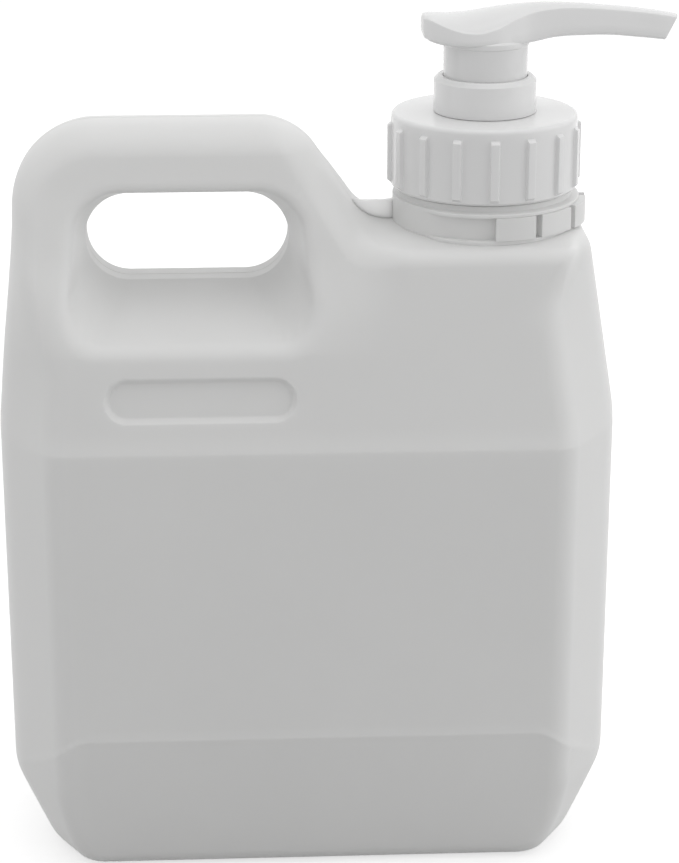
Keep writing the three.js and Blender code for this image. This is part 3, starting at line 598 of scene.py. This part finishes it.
def shell_mesh(sizes):
    """The blown bottle's outer skin, with the way into the neck left open."""
    def form(x, y, z):
        return bottle_form(x, y, z, sizes)

    def in_neck(vertex):
        from_axis = math.hypot(vertex.co.x - PUMP_AXIS_X, vertex.co.y)
        return from_axis < NECK_BORE - 0.5 and vertex.co.z > 150

    cell = sizes["cell"]
    points, quads = skin(form, BOTTLE_LOW - 3, BOTTLE_HIGH + 3, cell)
    mesh = mesh_from("bottle_shell", settled(form, points, cell), quads)
    refine(mesh, form, 9.0, cell)
    refine(mesh, form, 14.0, cell / 2)
    with editing(mesh) as bm:
        inner = [f for f in bm.faces if all(in_neck(v) for v in f.verts)]
        bmesh.ops.delete(bm, geom=inner, context="FACES")
    mesh.shade_smooth()
    facing = facing_of(form, corners_of(mesh), 2 * SLOPE_STEP)
    mesh.normals_split_custom_set_from_vertices(facing.tolist())
    return mesh


# Turned shapes

FILLET_STEPS = 5


def filleted(profile):
    """Rounds the corners of a profile of (radius, height, corner radius)."""
    points = [np.array(p[:2], float) for p in profile]
    rounds = [p[2] if len(p) > 2 else 0.0 for p in profile]
    made = []
    for i, (here, radius) in enumerate(zip(points, rounds)):
        if radius <= 0:
            made.append(here)
            continue
        before = points[i - 1] - here
        after = points[(i + 1) % len(points)] - here
        before_length, after_length = np.linalg.norm(before), np.linalg.norm(after)
        before, after = before / before_length, after / after_length
        half = math.acos(np.clip(before @ after, -1, 1)) / 2
        cut = min(radius / math.tan(half), before_length * 0.49, after_length * 0.49)
        true_radius = cut * math.tan(half)
        inward = (before + after) / np.linalg.norm(before + after)
        middle = here + inward * (true_radius / math.sin(half))
        start, end = here + before * cut, here + after * cut
        a0 = math.atan2(*(start - middle)[::-1])
        a1 = math.atan2(*(end - middle)[::-1])
        turn = (a1 - a0 + math.pi) % (2 * math.pi) - math.pi
        for step in range(FILLET_STEPS + 1):
            angle = a0 + turn * step / FILLET_STEPS
            made.append(middle + true_radius * np.array([math.cos(angle), math.sin(angle)]))
    return made


def lathe(profile, angles, swell=None):
    """Points and faces of a closed profile turned about the pump axis.

    Angles are a count or a list. swell may change each point's radius from its angle, radius
    and height.
    """
    if isinstance(angles, int):
        angles = np.arange(angles) * 2 * math.pi / angles
    rows, columns = len(angles), len(profile)
    radius, height = [np.tile(part, (rows, 1)) for part in np.array(profile, float).T]
    turn = np.tile(np.array(angles)[:, None], (1, columns))
    if swell is not None:
        radius = swell(turn, radius, height)
    points = np.stack(
        [PUMP_AXIS_X + radius * np.sin(turn), -radius * np.cos(turn), height], axis=-1
    ).reshape(-1, 3)
    faces = []
    for i in range(rows):
        here, after = i * columns, (i + 1) % rows * columns
        for j, k in zip(range(columns), [*range(1, columns), 0]):
            faces.append((here + j, after + j, after + k, here + k))
    return points, faces


def thread(radius, crest, start_height, width):
    """A thread ridge about the pump axis that fades in and out at its ends."""
    steps = 72
    section = [(-width / 2, 0.0), (-width / 5, 1.0), (width / 5, 1.0), (width / 2, 0.0)]
    count = int(THREAD_TURNS * steps)
    points = []
    root = radius - 0.3 * np.sign(crest - radius)
    for i in range(count + 1):
        angle = 2 * math.pi * i / steps
        fade = min(1.0, i / (steps / 8), (count - i) / (steps / 8))
        for rise, share in section:
            r = root + (crest - root) * share * fade
            z = start_height + THREAD_PITCH * i / steps + rise
            points.append((PUMP_AXIS_X + r * math.sin(angle), -r * math.cos(angle), z))
    return np.array(points), tube_faces(count + 1, len(section))


def turned_mesh(name, parts, crease):
    """One mesh from turned parts, with edges sharper than the crease kept sharp."""
    points, faces = [], []
    for part_points, part_faces in parts:
        faces += [[i + len(points) for i in face] for face in part_faces]
        points += list(part_points)
    mesh = mesh_from(name, points, faces)
    with editing(mesh) as bm:
        bmesh.ops.remove_doubles(bm, verts=bm.verts, dist=1e-5)
    return creased(faced_out(mesh), crease)


# The neck's one-way teeth, in degrees round from the front: where the first tooth starts, how
# far apart they are, where a slot lies before the next tooth, and where they end.
TEETH_FIRST, TEETH_PITCH, TEETH = 2.0, 30.0, 4
SLOT_START, SLOT_END = 5.4, 0.9
LAST_IN_FRONT, LAST_BEHIND = 94.0, 56.0
TOOTH_HEIGHT, TOOTH_GROWTH, SLOT_DEPTH = 1.5, 1.5, 0.5
HOLLOW_START, HOLLOW_DEPTH = -33.0, 0.5
BAND_LOW, BAND_HIGH = 168.32, 174.17


def ratchet_radius(turn, radius, height):
    """Draws the neck band's radius out and in to one-way teeth at the front and back."""
    degrees = np.degrees(turn) % 360.0
    place = (degrees + 60.0) % 180.0 - 60.0
    behind = (degrees > 134.0) & (degrees < 300.0)
    last = np.where(behind, LAST_BEHIND, LAST_IN_FRONT)
    band = (height > BAND_LOW) & (height < BAND_HIGH) & (np.abs(radius - NECK_RADIUS) < 0.05)
    ledge = (height < 175.6) & (radius > NECK_RADIUS + 0.1)
    toothed = (place >= TEETH_FIRST) & (place <= last)
    growth = TOOTH_GROWTH * ramp(place, 45.0, 80.0) * ~behind
    offset = np.where(toothed, TOOTH_HEIGHT + growth, 0.0)
    for i in range(1, TEETH):
        step = TEETH_FIRST + i * TEETH_PITCH
        slot = (place > step - SLOT_START) & (place < step - SLOT_END) & toothed
        offset = np.where(slot, -SLOT_DEPTH, offset)
    hollow = (place > HOLLOW_START) & (place < TEETH_FIRST)
    sunk = HOLLOW_DEPTH * (place - HOLLOW_START) / (TEETH_FIRST - HOLLOW_START)
    offset = np.where(hollow, -sunk, offset)
    fading = np.where(behind, ramp(place, 74.0, 58.0), ramp(place, 116.0, 98.0))
    shown = ramp(place, -46.0, -30.0) * fading
    return radius + offset * band - (radius - NECK_RADIUS) * (1 - shown) * ledge


def ratchet_angles():
    """Angles round the neck, doubled at each tooth's step."""
    angles = list(np.arange(0, 360, 2.0) + 0.37)
    for half in (0, 180):
        for i in range(TEETH):
            step = half + TEETH_FIRST + i * TEETH_PITCH
            for back in (0.0, SLOT_END, SLOT_START):
                angles += [step - back - 0.02, step - back + 0.02]
        for last in (LAST_BEHIND, LAST_IN_FRONT):
            angles += [half + last - 0.1, half + last + 0.1]
    return np.radians(sorted(a % 360 for a in angles))


def neck_mesh():
    """The neck's toothed base and its threaded finish."""
    base = filleted([
        (NECK_BORE, 160.0),
        (LEDGE_RADIUS, 160.0),
        (LEDGE_RADIUS, 168.3, 0.2),
        (NECK_RADIUS, 168.36),
        (NECK_RADIUS, 168.4),
        (NECK_RADIUS, 174.1),
        (NECK_RADIUS, 174.14),
        (LEDGE_RADIUS, 174.2, 0.2),
        (LEDGE_RADIUS, 175.1, 0.3),
        (22.5, 175.3, 0.3),
        (22.4, NECK_TOP + 0.6, 0.3),
        (MOUTH_RADIUS, NECK_TOP + 0.6, 0.5),
        (MOUTH_RADIUS, MOUTH_TOP, 0.5),
        (NECK_BORE, MOUTH_TOP, 0.4),
    ])
    turned = lathe(base, ratchet_angles(), ratchet_radius)
    ridge = thread(MOUTH_RADIUS, 20.9, 178.6, 2.4)
    return turned_mesh("bottle_neck", [turned, ridge], 28.0)


def web_mesh():
    """The thin web that the mould pinches between the handle and the neck."""
    left, right = 11.0, PUMP_AXIS_X - NECK_RADIUS + 0.6
    bottom, top, thickness = 162.0, 173.3, 1.6
    mesh = bpy.data.meshes.new("bottle_web")
    with editing(mesh) as bm:
        bmesh.ops.create_cube(bm, size=1.0)
        for v in bm.verts:
            v.co.x = blend(left, right, v.co.x + 0.5)
            v.co.y *= thickness
            v.co.z = blend(bottom, top, v.co.z + 0.5)
        bmesh.ops.bevel(
            bm, geom=list(bm.edges), offset=0.4, segments=3, profile=0.5, affect="EDGES"
        )
    return creased(mesh, 40)


# Screw collar

COLLAR_RADIUS, COLLAR_BORE = 23.85, 21.55
FIRST_RIB = math.radians(0.7)
RIB_BOTTOM, RIB_TOP = COLLAR_BOTTOM + 1.7, COLLAR_TOP - 2.6
# Places across half a rib and the wall beside it, as shares of half a standard rib
RIB_PLACES = (0, 0.45, 0.75, 0.9, 1.0, 1.06, 1.12, 1.2, 1.32, 1.5, 1.9, 2.6, 3.6)
HALF_STANDARD_RIB = 1.1


def collar_mesh(sizes):
    """The collar with its ribs outside and its thread inside."""
    half = sizes["rib_width"] / 2
    sector = 2 * math.pi / sizes["rib_count"]
    places = [-p for p in RIB_PLACES[:0:-1]] + list(RIB_PLACES)
    sides = [p * half / HALF_STANDARD_RIB for p in places]
    angles = [
        FIRST_RIB + i * sector + side / COLLAR_RADIUS
        for i in range(sizes["rib_count"]) for side in sides
    ]

    def ribs(turn, radius, z):
        from_rib = np.abs((turn - FIRST_RIB + sector / 2) % sector - sector / 2)
        flank = ramp(from_rib * COLLAR_RADIUS, half + 0.16, half - 0.14)
        lower = np.clip((z - RIB_BOTTOM + 0.8) / 0.8, 0, 1)
        upper = np.clip((RIB_TOP - z) / 0.75, 0, 1)
        ends = np.minimum(lower, upper)
        return radius + sizes["rib_height"] * flank * ends * (radius > COLLAR_RADIUS - 0.3)

    levels = [RIB_BOTTOM + rise for rise in (-0.8, -0.4, 0, 0.4, 4, 8)]
    levels += [RIB_TOP + rise for rise in (-1.2, -0.75, -0.4, 0, 0.1)]
    profile = filleted([
        (COLLAR_BORE, COLLAR_BOTTOM, 0.3),
        (COLLAR_RADIUS - 0.55, COLLAR_BOTTOM, 0.3),
        (COLLAR_RADIUS, COLLAR_BOTTOM + 0.6, 0.3),
        *[(COLLAR_RADIUS, z) for z in levels],
        (COLLAR_RADIUS, COLLAR_TOP, 1.6),
        (8.7, COLLAR_TOP, 0.3),
        (8.7, COLLAR_TOP - 1.8),
        (COLLAR_BORE, COLLAR_TOP - 1.8, 0.4),
    ])
    ridge = thread(COLLAR_BORE, 20.6, COLLAR_BOTTOM + 3.0, 2.2)
    return turned_mesh("collar", [lathe(profile, angles, ribs), ridge], 28.0)


# Pump

def spring_mesh(wire, turns):
    """The return spring: a round wire wound between its CAD ends, its last turns lying flat."""
    low, high = node_size("return_spring")
    bottom, top = low[2] + wire, high[2] - wire
    mean = (high[0] - low[0]) / 2 - wire
    sides, steps = 14, int(turns * 40)
    wound = np.linspace(0, turns, steps + 1)[:, None]
    rise = np.interp(wound, [0, 0.7, turns - 0.7, turns], [0, 0.06, 0.94, 1])
    around = np.arange(sides) * 2 * math.pi / sides
    radius = mean + wire * np.cos(around)
    height = blend(bottom, top, rise) + wire * np.sin(around)
    angle = wound * 2 * math.pi
    points = np.stack(
        [PUMP_AXIS_X + radius * np.cos(angle), radius * np.sin(angle), height], axis=-1
    )
    mesh = mesh_from("return_coil", points.reshape(-1, 3), tube_faces(steps + 1, sides))
    return creased(faced_out(mesh), 50)


def lock_ring_mesh():
    """The plain ring on the collar, its top grooved for the skirt, with its guide tube."""
    low = float(RING_LOW[2])
    base = COLLAR_TOP + FIT_GAP
    tube_bore, tube, bore, groove, outside = 3.8, 6.7, 11.0, 10.84, 13.1
    profile = filleted([
        (tube_bore, low, 0.2),
        (tube, low, 0.2),
        (tube, base - 0.2),
        (outside, base - 0.2, 0.12),
        (outside, LOCK_RING_TOP - 1.1, 0.25),
        (12.0, LOCK_RING_TOP, 0.3),
        (groove, LOCK_RING_TOP, 0.15),
        (groove, LOCK_RING_TOP - 0.8),
        (bore, LOCK_RING_TOP - 0.9),
        (bore, base + 0.9),
        (tube_bore, base + 0.9),
    ])
    return turned_mesh("pump_lock_ring", [lathe(profile, 144)], 30.0)


# Along the head: reach from the axis, half width, then the heights above the head's bottom
# of the crest, the rim and the underside.
HEAD_SECTIONS = np.array([
    (-16.5, 1.6, 5.9, 5.5, 2.9),
    (-16.2, 3.6, 6.6, 6.0, 1.8),
    (-15.4, 5.4, 6.95, 6.2, 1.2),
    (-13.0, 7.9, 7.0, 5.6, 0.45),
    (-10.0, 9.5, 6.95, 4.55, 0.1),
    (-6.5, 10.6, 7.1, 3.7, 0.0),
    (-2.8, 10.95, 7.6, 3.5, 0.0),
    (2.0, 10.2, 8.4, 4.5, 0.0),
    (6.8, 8.2, 9.05, 6.4, 0.0),
    (11.0, 6.3, 9.4, 7.6, 0.35),
    (17.0, 4.9, 9.5, 8.4, 1.3),
    (24.0, 4.4, 9.2, 8.45, 1.6),
    (31.0, 4.2, 8.6, 8.0, 1.6),
    (38.0, 4.1, 7.9, 7.35, 1.0),
    (44.6, 4.0, 6.95, 6.45, 0.3),
    (51.6, 3.9, 5.6, 5.1, -0.7),
])
HEAD_CREASE = 34.0  # degrees
SIDE_LEAN = 0.28  # how far the head's sides lean in, as a share of their height


def eased_stations(table, count):
    """More stations of a table along its first column, on a smooth curve."""
    places = table[:, 0]
    slopes = np.gradient(table, places, axis=0)
    picked = np.linspace(0, len(places) - 1, count)
    index = np.minimum(picked.astype(int), len(places) - 2)
    share = (picked - index)[:, None]
    gap = (places[index + 1] - places[index])[:, None]
    a, b = table[index], table[index + 1]
    ma, mb = slopes[index] * gap, slopes[index + 1] * gap
    s2, s3 = share**2, share**3
    return (
        (2 * s3 - 3 * s2 + 1) * a
        + (s3 - 2 * s2 + share) * ma
        + (3 * s2 - 2 * s3) * b
        + (s3 - s2) * mb
    )


def head_loop(station):
    """One section across the head, from the middle of its underside round to the crest and back."""
    reach, half, crest, rim, under = station
    wall = max(0.2, rim - under)
    edge = min(0.9, half * 0.3, wall * 0.4)
    lip = min(0.45, half * 0.2, wall * 0.3)
    high = half - SIDE_LEAN * (wall - edge - lip)
    right = [(half * s, under) for s in (0.0, 0.35, 0.7)]
    right += [
        (half - edge + edge * math.sin(a), under + edge - edge * math.cos(a))
        for a in np.radians([0, 22, 45, 67, 90])
    ]
    right += [(blend(half, high, s), blend(under + edge, rim - lip, s)) for s in (0.35, 0.7)]
    right += [
        (high - lip + lip * math.cos(a), rim - lip + lip * math.sin(a))
        for a in np.radians([0, 30, 60, 85])
    ]
    inner = high - lip
    right += [
        (inner * s, rim + (crest - rim) * (1 - s**2) ** 0.9)
        for s in (0.97, 0.9, 0.8, 0.68, 0.55, 0.42, 0.28, 0.14)
    ]
    outline = [*right, (0.0, crest), *[(-y, z) for y, z in right[:0:-1]]]
    return [(PUMP_AXIS_X + reach, y, HEAD_BOTTOM + z) for y, z in outline]


def head_top_mesh():
    """The thumb saddle with its spout, cut off at a slant."""
    loops = [head_loop(station) for station in eased_stations(HEAD_SECTIONS, 120)]
    faces = tube_faces(len(loops), len(loops[0]))
    mesh = mesh_from("head_top", np.array(loops).reshape(-1, 3), faces)
    tilt = math.radians(30)
    end = Vector((HEAD_END - 2.2, 0.0, HEAD_BOTTOM + 3.1))
    facing = Vector((math.cos(tilt), 0.0, -math.sin(tilt)))
    with editing(mesh) as bm:
        parts = [*bm.verts, *bm.edges, *bm.faces]
        sliced = bmesh.ops.bisect_plane(
            bm, geom=parts, plane_co=end, plane_no=facing, clear_outer=True
        )
        rim = [e for e in sliced["geom_cut"] if isinstance(e, bmesh.types.BMEdge)]
        cap = bmesh.ops.contextual_create(bm, geom=rim)["faces"]
        bmesh.ops.inset_region(bm, faces=cap, thickness=0.35, depth=0.0)
    return faced_out(mesh)


def head_mesh():
    """The thumb saddle with its spout, and the skirt and the stem's socket under it."""
    mesh = head_top_mesh()
    skirt_bore, skirt, flange = 9.4, 10.7, 10.95
    profile = filleted([
        (skirt_bore, LOCK_RING_TOP - 0.7, 0.2),
        (skirt, LOCK_RING_TOP - 0.7, 0.2),
        (skirt, HEAD_BOTTOM - 1.0, 0.15),
        (flange, HEAD_BOTTOM - 0.7, 0.15),
        (flange, HEAD_BOTTOM + 0.5, 0.4),
        (skirt_bore, HEAD_BOTTOM + 1.6),
    ])
    socket = filleted([
        (3.8, HEAD_BOTTOM - 7.0, 0.2),
        (5.3, HEAD_BOTTOM - 7.0, 0.2),
        (5.3, HEAD_BOTTOM + 1.0),
        (3.8, HEAD_BOTTOM + 1.0),
    ])
    base = turned_mesh("head_base", [lathe(profile, 144), lathe(socket, 64)], 30.0)
    with editing(mesh) as bm:
        bm.from_mesh(base)
    return creased(mesh, HEAD_CREASE)


def outlet_cut(piece):
    """Bores the outlet into the spout's end."""
    tilt = Matrix.Rotation(math.radians(103), 4, "Y")
    place = Matrix.Translation((HEAD_END - 4.0, 0.0, HEAD_BOTTOM + 3.2))
    mesh = bpy.data.meshes.new("outlet_tool")
    with editing(mesh) as bm:
        bmesh.ops.create_cone(
            bm, cap_ends=True, segments=40, radius1=1.7, radius2=1.7, depth=12.0
        )
        bmesh.ops.transform(bm, matrix=Matrix.Scale(MM, 4) @ place @ tilt, verts=bm.verts)
    tool = placed("outlet_tool", mesh)
    cut = piece.modifiers.new("outlet", "BOOLEAN")
    cut.operation = "DIFFERENCE"
    cut.solver = "EXACT"
    cut.use_self = True
    cut.object = tool
    depsgraph = bpy.context.evaluated_depsgraph_get()
    result = bpy.data.meshes.new_from_object(piece.evaluated_get(depsgraph))
    piece.modifiers.clear()
    piece.data = creased(result, HEAD_CREASE)
    bpy.data.objects.remove(tool)


# What a user may change

def length(name, description, default, low, high):
    """A size in metres, shown in the scene's own unit."""
    return bpy.props.FloatProperty(
        name=name, description=description, default=default, min=low, max=high,
        unit="LENGTH", precision=5,
    )


def colour_of(name, description, default):
    """A colour with its alpha."""
    return bpy.props.FloatVectorProperty(
        name=name, description=description, default=default, subtype="COLOR", size=4,
        min=0.0, max=1.0,
    )


def roughness_of(name, description, default):
    """A share from glossy to matt."""
    return bpy.props.FloatProperty(
        name=name, description=description, default=default, min=0.05, max=1.0,
        subtype="FACTOR",
    )


class BottleSettings(bpy.types.PropertyGroup):
    cell: length("Mesh cell", "Size of the bottle skin's faces", 0.00135, 0.0008, 0.004)
    panel_length: length("Panel length", "Length of the sunk panel", 0.0482, 0.02, 0.06)
    panel_height: length("Panel height", "Height of the sunk panel", 0.0113, 0.006, 0.02)
    panel_sink: length("Panel sink", "Depth of the sunk panel", 0.00125, 0.0, 0.003)
    panel_bevel: length("Panel bevel", "Width of the panel's sloping edge", 0.00135, 0.0003, 0.003)
    colour: colour_of("Bottle colour", "Colour of the blown plastic", (0.76, 0.76, 0.755, 1.0))
    gloss: roughness_of("Bottle roughness", "Roughness of the blown plastic", 0.46)


class ClosureSettings(bpy.types.PropertyGroup):
    rib_count: bpy.props.IntProperty(
        name="Ribs", description="Number of grip ribs round the collar",
        default=16, min=6, max=40,
    )
    rib_width: length("Rib width", "Width of a grip rib", 0.0022, 0.0006, 0.005)
    rib_height: length("Rib height", "How far a grip rib stands out", 0.00105, 0.0002, 0.00105)
    wire: length("Spring wire", "Radius of the return spring's wire", 0.00045, 0.0002, 0.0008)
    turns: bpy.props.FloatProperty(
        name="Spring turns", description="Number of turns of the return spring",
        default=8.0, min=4.0, max=12.0,
    )
    colour: colour_of(
        "Closure colour", "Colour of the collar, ring and head", (0.81, 0.81, 0.81, 1.0)
    )
    gloss: roughness_of("Closure roughness", "Roughness of the collar, ring and head", 0.2)


class StageSettings(bpy.types.PropertyGroup):
    lamp_level: bpy.props.FloatProperty(
        name="Lamp level", description="Multiplies the power of every lamp",
        default=1.0, min=0.0, max=5.0,
    )
    sky_level: bpy.props.FloatProperty(
        name="Sky level", description="Strength of the soft light from all round",
        default=0.655, min=0.0, max=3.0,
    )
    floor_colour: colour_of("Floor colour", "Colour of the floor", (0.52, 0.52, 0.52, 1.0))


def in_millimetres(settings, names):
    """The settings of these names, as plain numbers of millimetres."""
    return {name: round(getattr(settings, name) / MM, 4) for name in names}


class PUMPBOTTLE_OT_bottle(bpy.types.Operator):
    """Build the blown bottle: its skin, its neck and the web beside the neck"""

    bl_idname = "pumpbottle.bottle"
    bl_label = "Bottle"

    def execute(self, context):
        settings = context.scene.pump_bottle_body
        colour, gloss = tuple(settings.colour), settings.gloss
        sizes = in_millimetres(
            settings, ("cell", "panel_length", "panel_height", "panel_sink", "panel_bevel")
        )
        blown = plastic_finish(
            "blown_plastic", colour, gloss, waviness=0.00006, grain_scale=900.0,
            grain_depth=0.000012, parting_line=0.0003, glow=0.45, glow_reach=0.006,
        )
        moulded = plastic_finish(
            "neck_plastic", colour, gloss - 0.06, waviness=0.00002, grain_scale=900.0,
            grain_depth=0.000006, parting_line=0.00012, glow=0.2,
        )
        thin = plastic_finish(
            "web_plastic", colour, gloss, waviness=0.00002, grain_scale=900.0,
            grain_depth=0.000006, glow=1.0, glow_reach=0.012,
        )
        for name, mesh, finish in (
            ("bottle_shell", shell_mesh(sizes), blown),
            ("bottle_neck", neck_mesh(), moulded),
            ("bottle_web", web_mesh(), thin),
        ):
            finish_piece(name, mesh, "bottle_body", "bottle", finish)
        return {"FINISHED"}


class PUMPBOTTLE_OT_closure(bpy.types.Operator):
    """Build the screw collar, the lock ring and the actuator head"""

    bl_idname = "pumpbottle.closure"
    bl_label = "Collar and head"

    def execute(self, context):
        settings = context.scene.pump_bottle_closure
        sizes = in_millimetres(settings, ("rib_width", "rib_height"))
        sizes["rib_count"] = settings.rib_count
        finish = plastic_finish(
            "closure_plastic", tuple(settings.colour), settings.gloss, waviness=0.000008,
            grain_scale=700.0, grain_depth=0.0000012, glow=0.15,
        )
        for name, mesh, body, node in (
            ("collar", collar_mesh(sizes), "collar_body", "screw_collar"),
            ("pump_lock_ring", lock_ring_mesh(), "pump_body", "lock_ring"),
            ("pump_head", head_mesh(), "head_body", "actuator_head"),
        ):
            piece = finish_piece(name, mesh, body, node, finish)
        outlet_cut(piece)
        dress_nodes({"stem": finish})
        return {"FINISHED"}


def dress_nodes(finishes):
    """Gives CAD nodes that keep their shape a finish."""
    for node, finish in finishes.items():
        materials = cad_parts[node].data.materials
        materials.clear()
        materials.append(finish)


class PUMPBOTTLE_OT_inside(bpy.types.Operator):
    """Build the return spring and finish the pump's other inner pieces"""

    bl_idname = "pumpbottle.inside"
    bl_label = "Pump inside"

    def execute(self, context):
        natural = plastic_finish(
            "natural_plastic", (0.74, 0.75, 0.74, 1.0), 0.38, waviness=0.00001,
            grain_scale=1200.0, grain_depth=0.00001,
        )
        foam = foam_finish("foam_seal", (0.78, 0.79, 0.77, 1.0))
        steel = steel_finish("spring_steel", (0.66, 0.67, 0.68, 1.0), 0.28)
        dress_nodes({
            "pump_housing": natural,
            "dip_tube": natural,
            "piston": natural,
            "piston_seat": natural,
            "neck_gasket": foam,
            "inlet_ball": steel,
        })
        settings = context.scene.pump_bottle_closure
        wire = in_millimetres(settings, ("wire",))["wire"]
        coil = finish_piece(
            "return_coil", spring_mesh(wire, settings.turns), "pump_body", "return_spring",
            steel,
        )
        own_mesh(coil)
        return {"FINISHED"}


class PUMPBOTTLE_OT_stage(bpy.types.Operator):
    """Set up the floor, the soft light and the camera"""

    bl_idname = "pumpbottle.stage"
    bl_label = "Stage"

    def execute(self, context):
        settings = context.scene.pump_bottle_stage
        make_floor(tuple(settings.floor_colour))
        make_sky(settings.sky_level)
        for name, place, size, power in LAMPS:
            make_lamp(name, place, size, power * settings.lamp_level)
        make_camera()
        context.scene.view_settings.view_transform = "Standard"
        return {"FINISHED"}


# Stage

WHITE = (1, 1, 1, 1)
FLOOR_GLOW = 0.62
LAMP_AIM = (0.0, 0.0, 0.1)
# Name, place in metres, width and height in metres, power in watts
LAMPS = (
    ("lamp_left", (-0.75, -0.12, 0.3), (0.7, 0.9), 0.3),
    ("lamp_right", (0.75, -0.16, 0.32), (0.7, 0.9), 0.95),
    ("lamp_top", (0.0, -0.1, 0.94), (0.7, 0.5), 0.62),
    ("lamp_back", (0.1, 0.9, 0.35), (1.2, 0.7), 1.6),
)


def make_lamp(name, place, size, power):
    """A soft lamp aimed at the middle of the bottle."""
    data = bpy.data.lights.new(name, "AREA")
    data.shape = "RECTANGLE"
    data.size, data.size_y = size
    data.energy = power
    lamp = placed(name, data)
    lamp.location = place
    aim = Vector(LAMP_AIM) - Vector(place)
    lamp.rotation_euler = aim.to_track_quat("-Z", "Y").to_euler()
    lamp.visible_camera = False
    lamp.visible_glossy = name != "lamp_back"  # it would glare on every level top


def seen_straight(graph):
    """1 on what is seen straight, in a mirror or through glass, 0 on light that only falls."""
    outputs = graph.node("ShaderNodeLightPath").socket.node.outputs
    names = ("Is Camera Ray", "Is Glossy Ray", "Is Transmission Ray")
    straight, glossy, through = [Shade(graph, outputs[name]) for name in names]
    return straight.maths("MAXIMUM", straight, glossy + through)


def make_floor(colour):
    """Pale paper that keeps the bottle's shadow, and is near white where it is seen."""
    mesh = bpy.data.meshes.new("floor")
    with editing(mesh) as bm:
        bmesh.ops.create_grid(bm, x_segments=8, y_segments=8, size=3.0)
    floor = placed("floor", mesh)
    material, graph, _ = new_finish("floor_paper")
    diffuse = graph.node("ShaderNodeBsdfDiffuse", (), {"Color": colour})
    glow = graph.node("ShaderNodeEmission", (), {"Color": WHITE, "Strength": FLOOR_GLOW})
    seen = graph.node("ShaderNodeAddShader", (), [diffuse, glow])
    surface = graph.node("ShaderNodeMixShader", (), [seen_straight(graph), diffuse, seen])
    graph.node("ShaderNodeOutputMaterial", (), {"Surface": surface})
    mesh.materials.append(material)


def make_sky(level):
    """Soft light from all round, a little stronger from behind, from the right and from above."""
    world = bpy.data.worlds.new("soft_light")
    world.use_nodes = True
    graph = Graph(world.node_tree)
    towards = graph.node("ShaderNodeSeparateXYZ", (), [graph.node("ShaderNodeTexCoord")])
    across, along, up = [Shade(graph, socket) for socket in towards.socket.node.outputs]
    strength = level * (
        graph.ramp(along, -1.0, 0.7, 0.82, 1.35)
        + graph.ramp(across, -1.0, 1.0, -0.05, 0.25)
        + graph.ramp(up, -0.2, 1.0, 0.0, 0.12)
    )
    falling = graph.node("ShaderNodeBackground", (), {"Color": WHITE, "Strength": strength})
    seen = graph.node("ShaderNodeBackground", (), {"Color": WHITE, "Strength": 1.0})
    surface = graph.node("ShaderNodeMixShader", (), [seen_straight(graph), falling, seen])
    graph.node("ShaderNodeOutputWorld", (), {"Surface": surface})
    bpy.context.scene.world = world


CAMERA_PLACE = (-0.02205, -0.63324, 0.33681)  # metres
CAMERA_DOWN, CAMERA_TURN = 19.7, 2.8  # degrees down, and to the right
CAMERA_LENS, CAMERA_FILM = 105.54, 36.0  # millimetres


def make_camera():
    """The camera, standing where the photograph's did."""
    data = bpy.data.cameras.new("camera")
    data.sensor_width = CAMERA_FILM
    data.lens = CAMERA_LENS
    data.clip_start, data.clip_end = 0.01, 20.0
    camera = placed("camera", data)
    camera.location = CAMERA_PLACE
    down, turn = math.radians(CAMERA_DOWN), math.radians(CAMERA_TURN)
    camera.rotation_euler = (math.pi / 2 - down, 0.0, -turn)
    bpy.context.scene.camera = camera


class PUMPBOTTLE_PT_panel(bpy.types.Panel):
    """Lists the bottle's steps and their settings"""

    bl_idname = "PUMPBOTTLE_PT_panel"
    bl_label = "Pump bottle"
    bl_space_type = "VIEW_3D"
    bl_region_type = "UI"
    bl_category = "Pump bottle"

    def draw(self, context):
        steps = (("bottle",), ("closure", "inside"), ("stage",))
        for group, names in zip(SETTINGS, steps):
            box = self.layout.box()
            settings = getattr(context.scene, group)
            for setting in settings.__annotations__:
                box.prop(settings, setting)
            for name in names:
                box.operator("pumpbottle." + name)


SETTINGS = {
    "pump_bottle_body": BottleSettings,
    "pump_bottle_closure": ClosureSettings,
    "pump_bottle_stage": StageSettings,
}
CLASSES = (
    *SETTINGS.values(),
    PUMPBOTTLE_OT_bottle,
    PUMPBOTTLE_OT_closure,
    PUMPBOTTLE_OT_inside,
    PUMPBOTTLE_OT_stage,
    PUMPBOTTLE_PT_panel,
)


def register():
    """Adds the settings, the steps and the panel."""
    for cls in CLASSES:
        bpy.utils.register_class(cls)
    for name, group in SETTINGS.items():
        setattr(bpy.types.Scene, name, bpy.props.PointerProperty(type=group))


def unregister():
    """Takes them away again."""
    for name in SETTINGS:
        delattr(bpy.types.Scene, name)
    for cls in reversed(CLASSES):
        bpy.utils.unregister_class(cls)


def main():
    """Builds everything in order."""
    register()
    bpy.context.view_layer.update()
    bpy.ops.pumpbottle.bottle()
    bpy.ops.pumpbottle.closure()
    bpy.ops.pumpbottle.inside()
    bpy.ops.pumpbottle.stage()


if __name__ == "__main__":
    main()
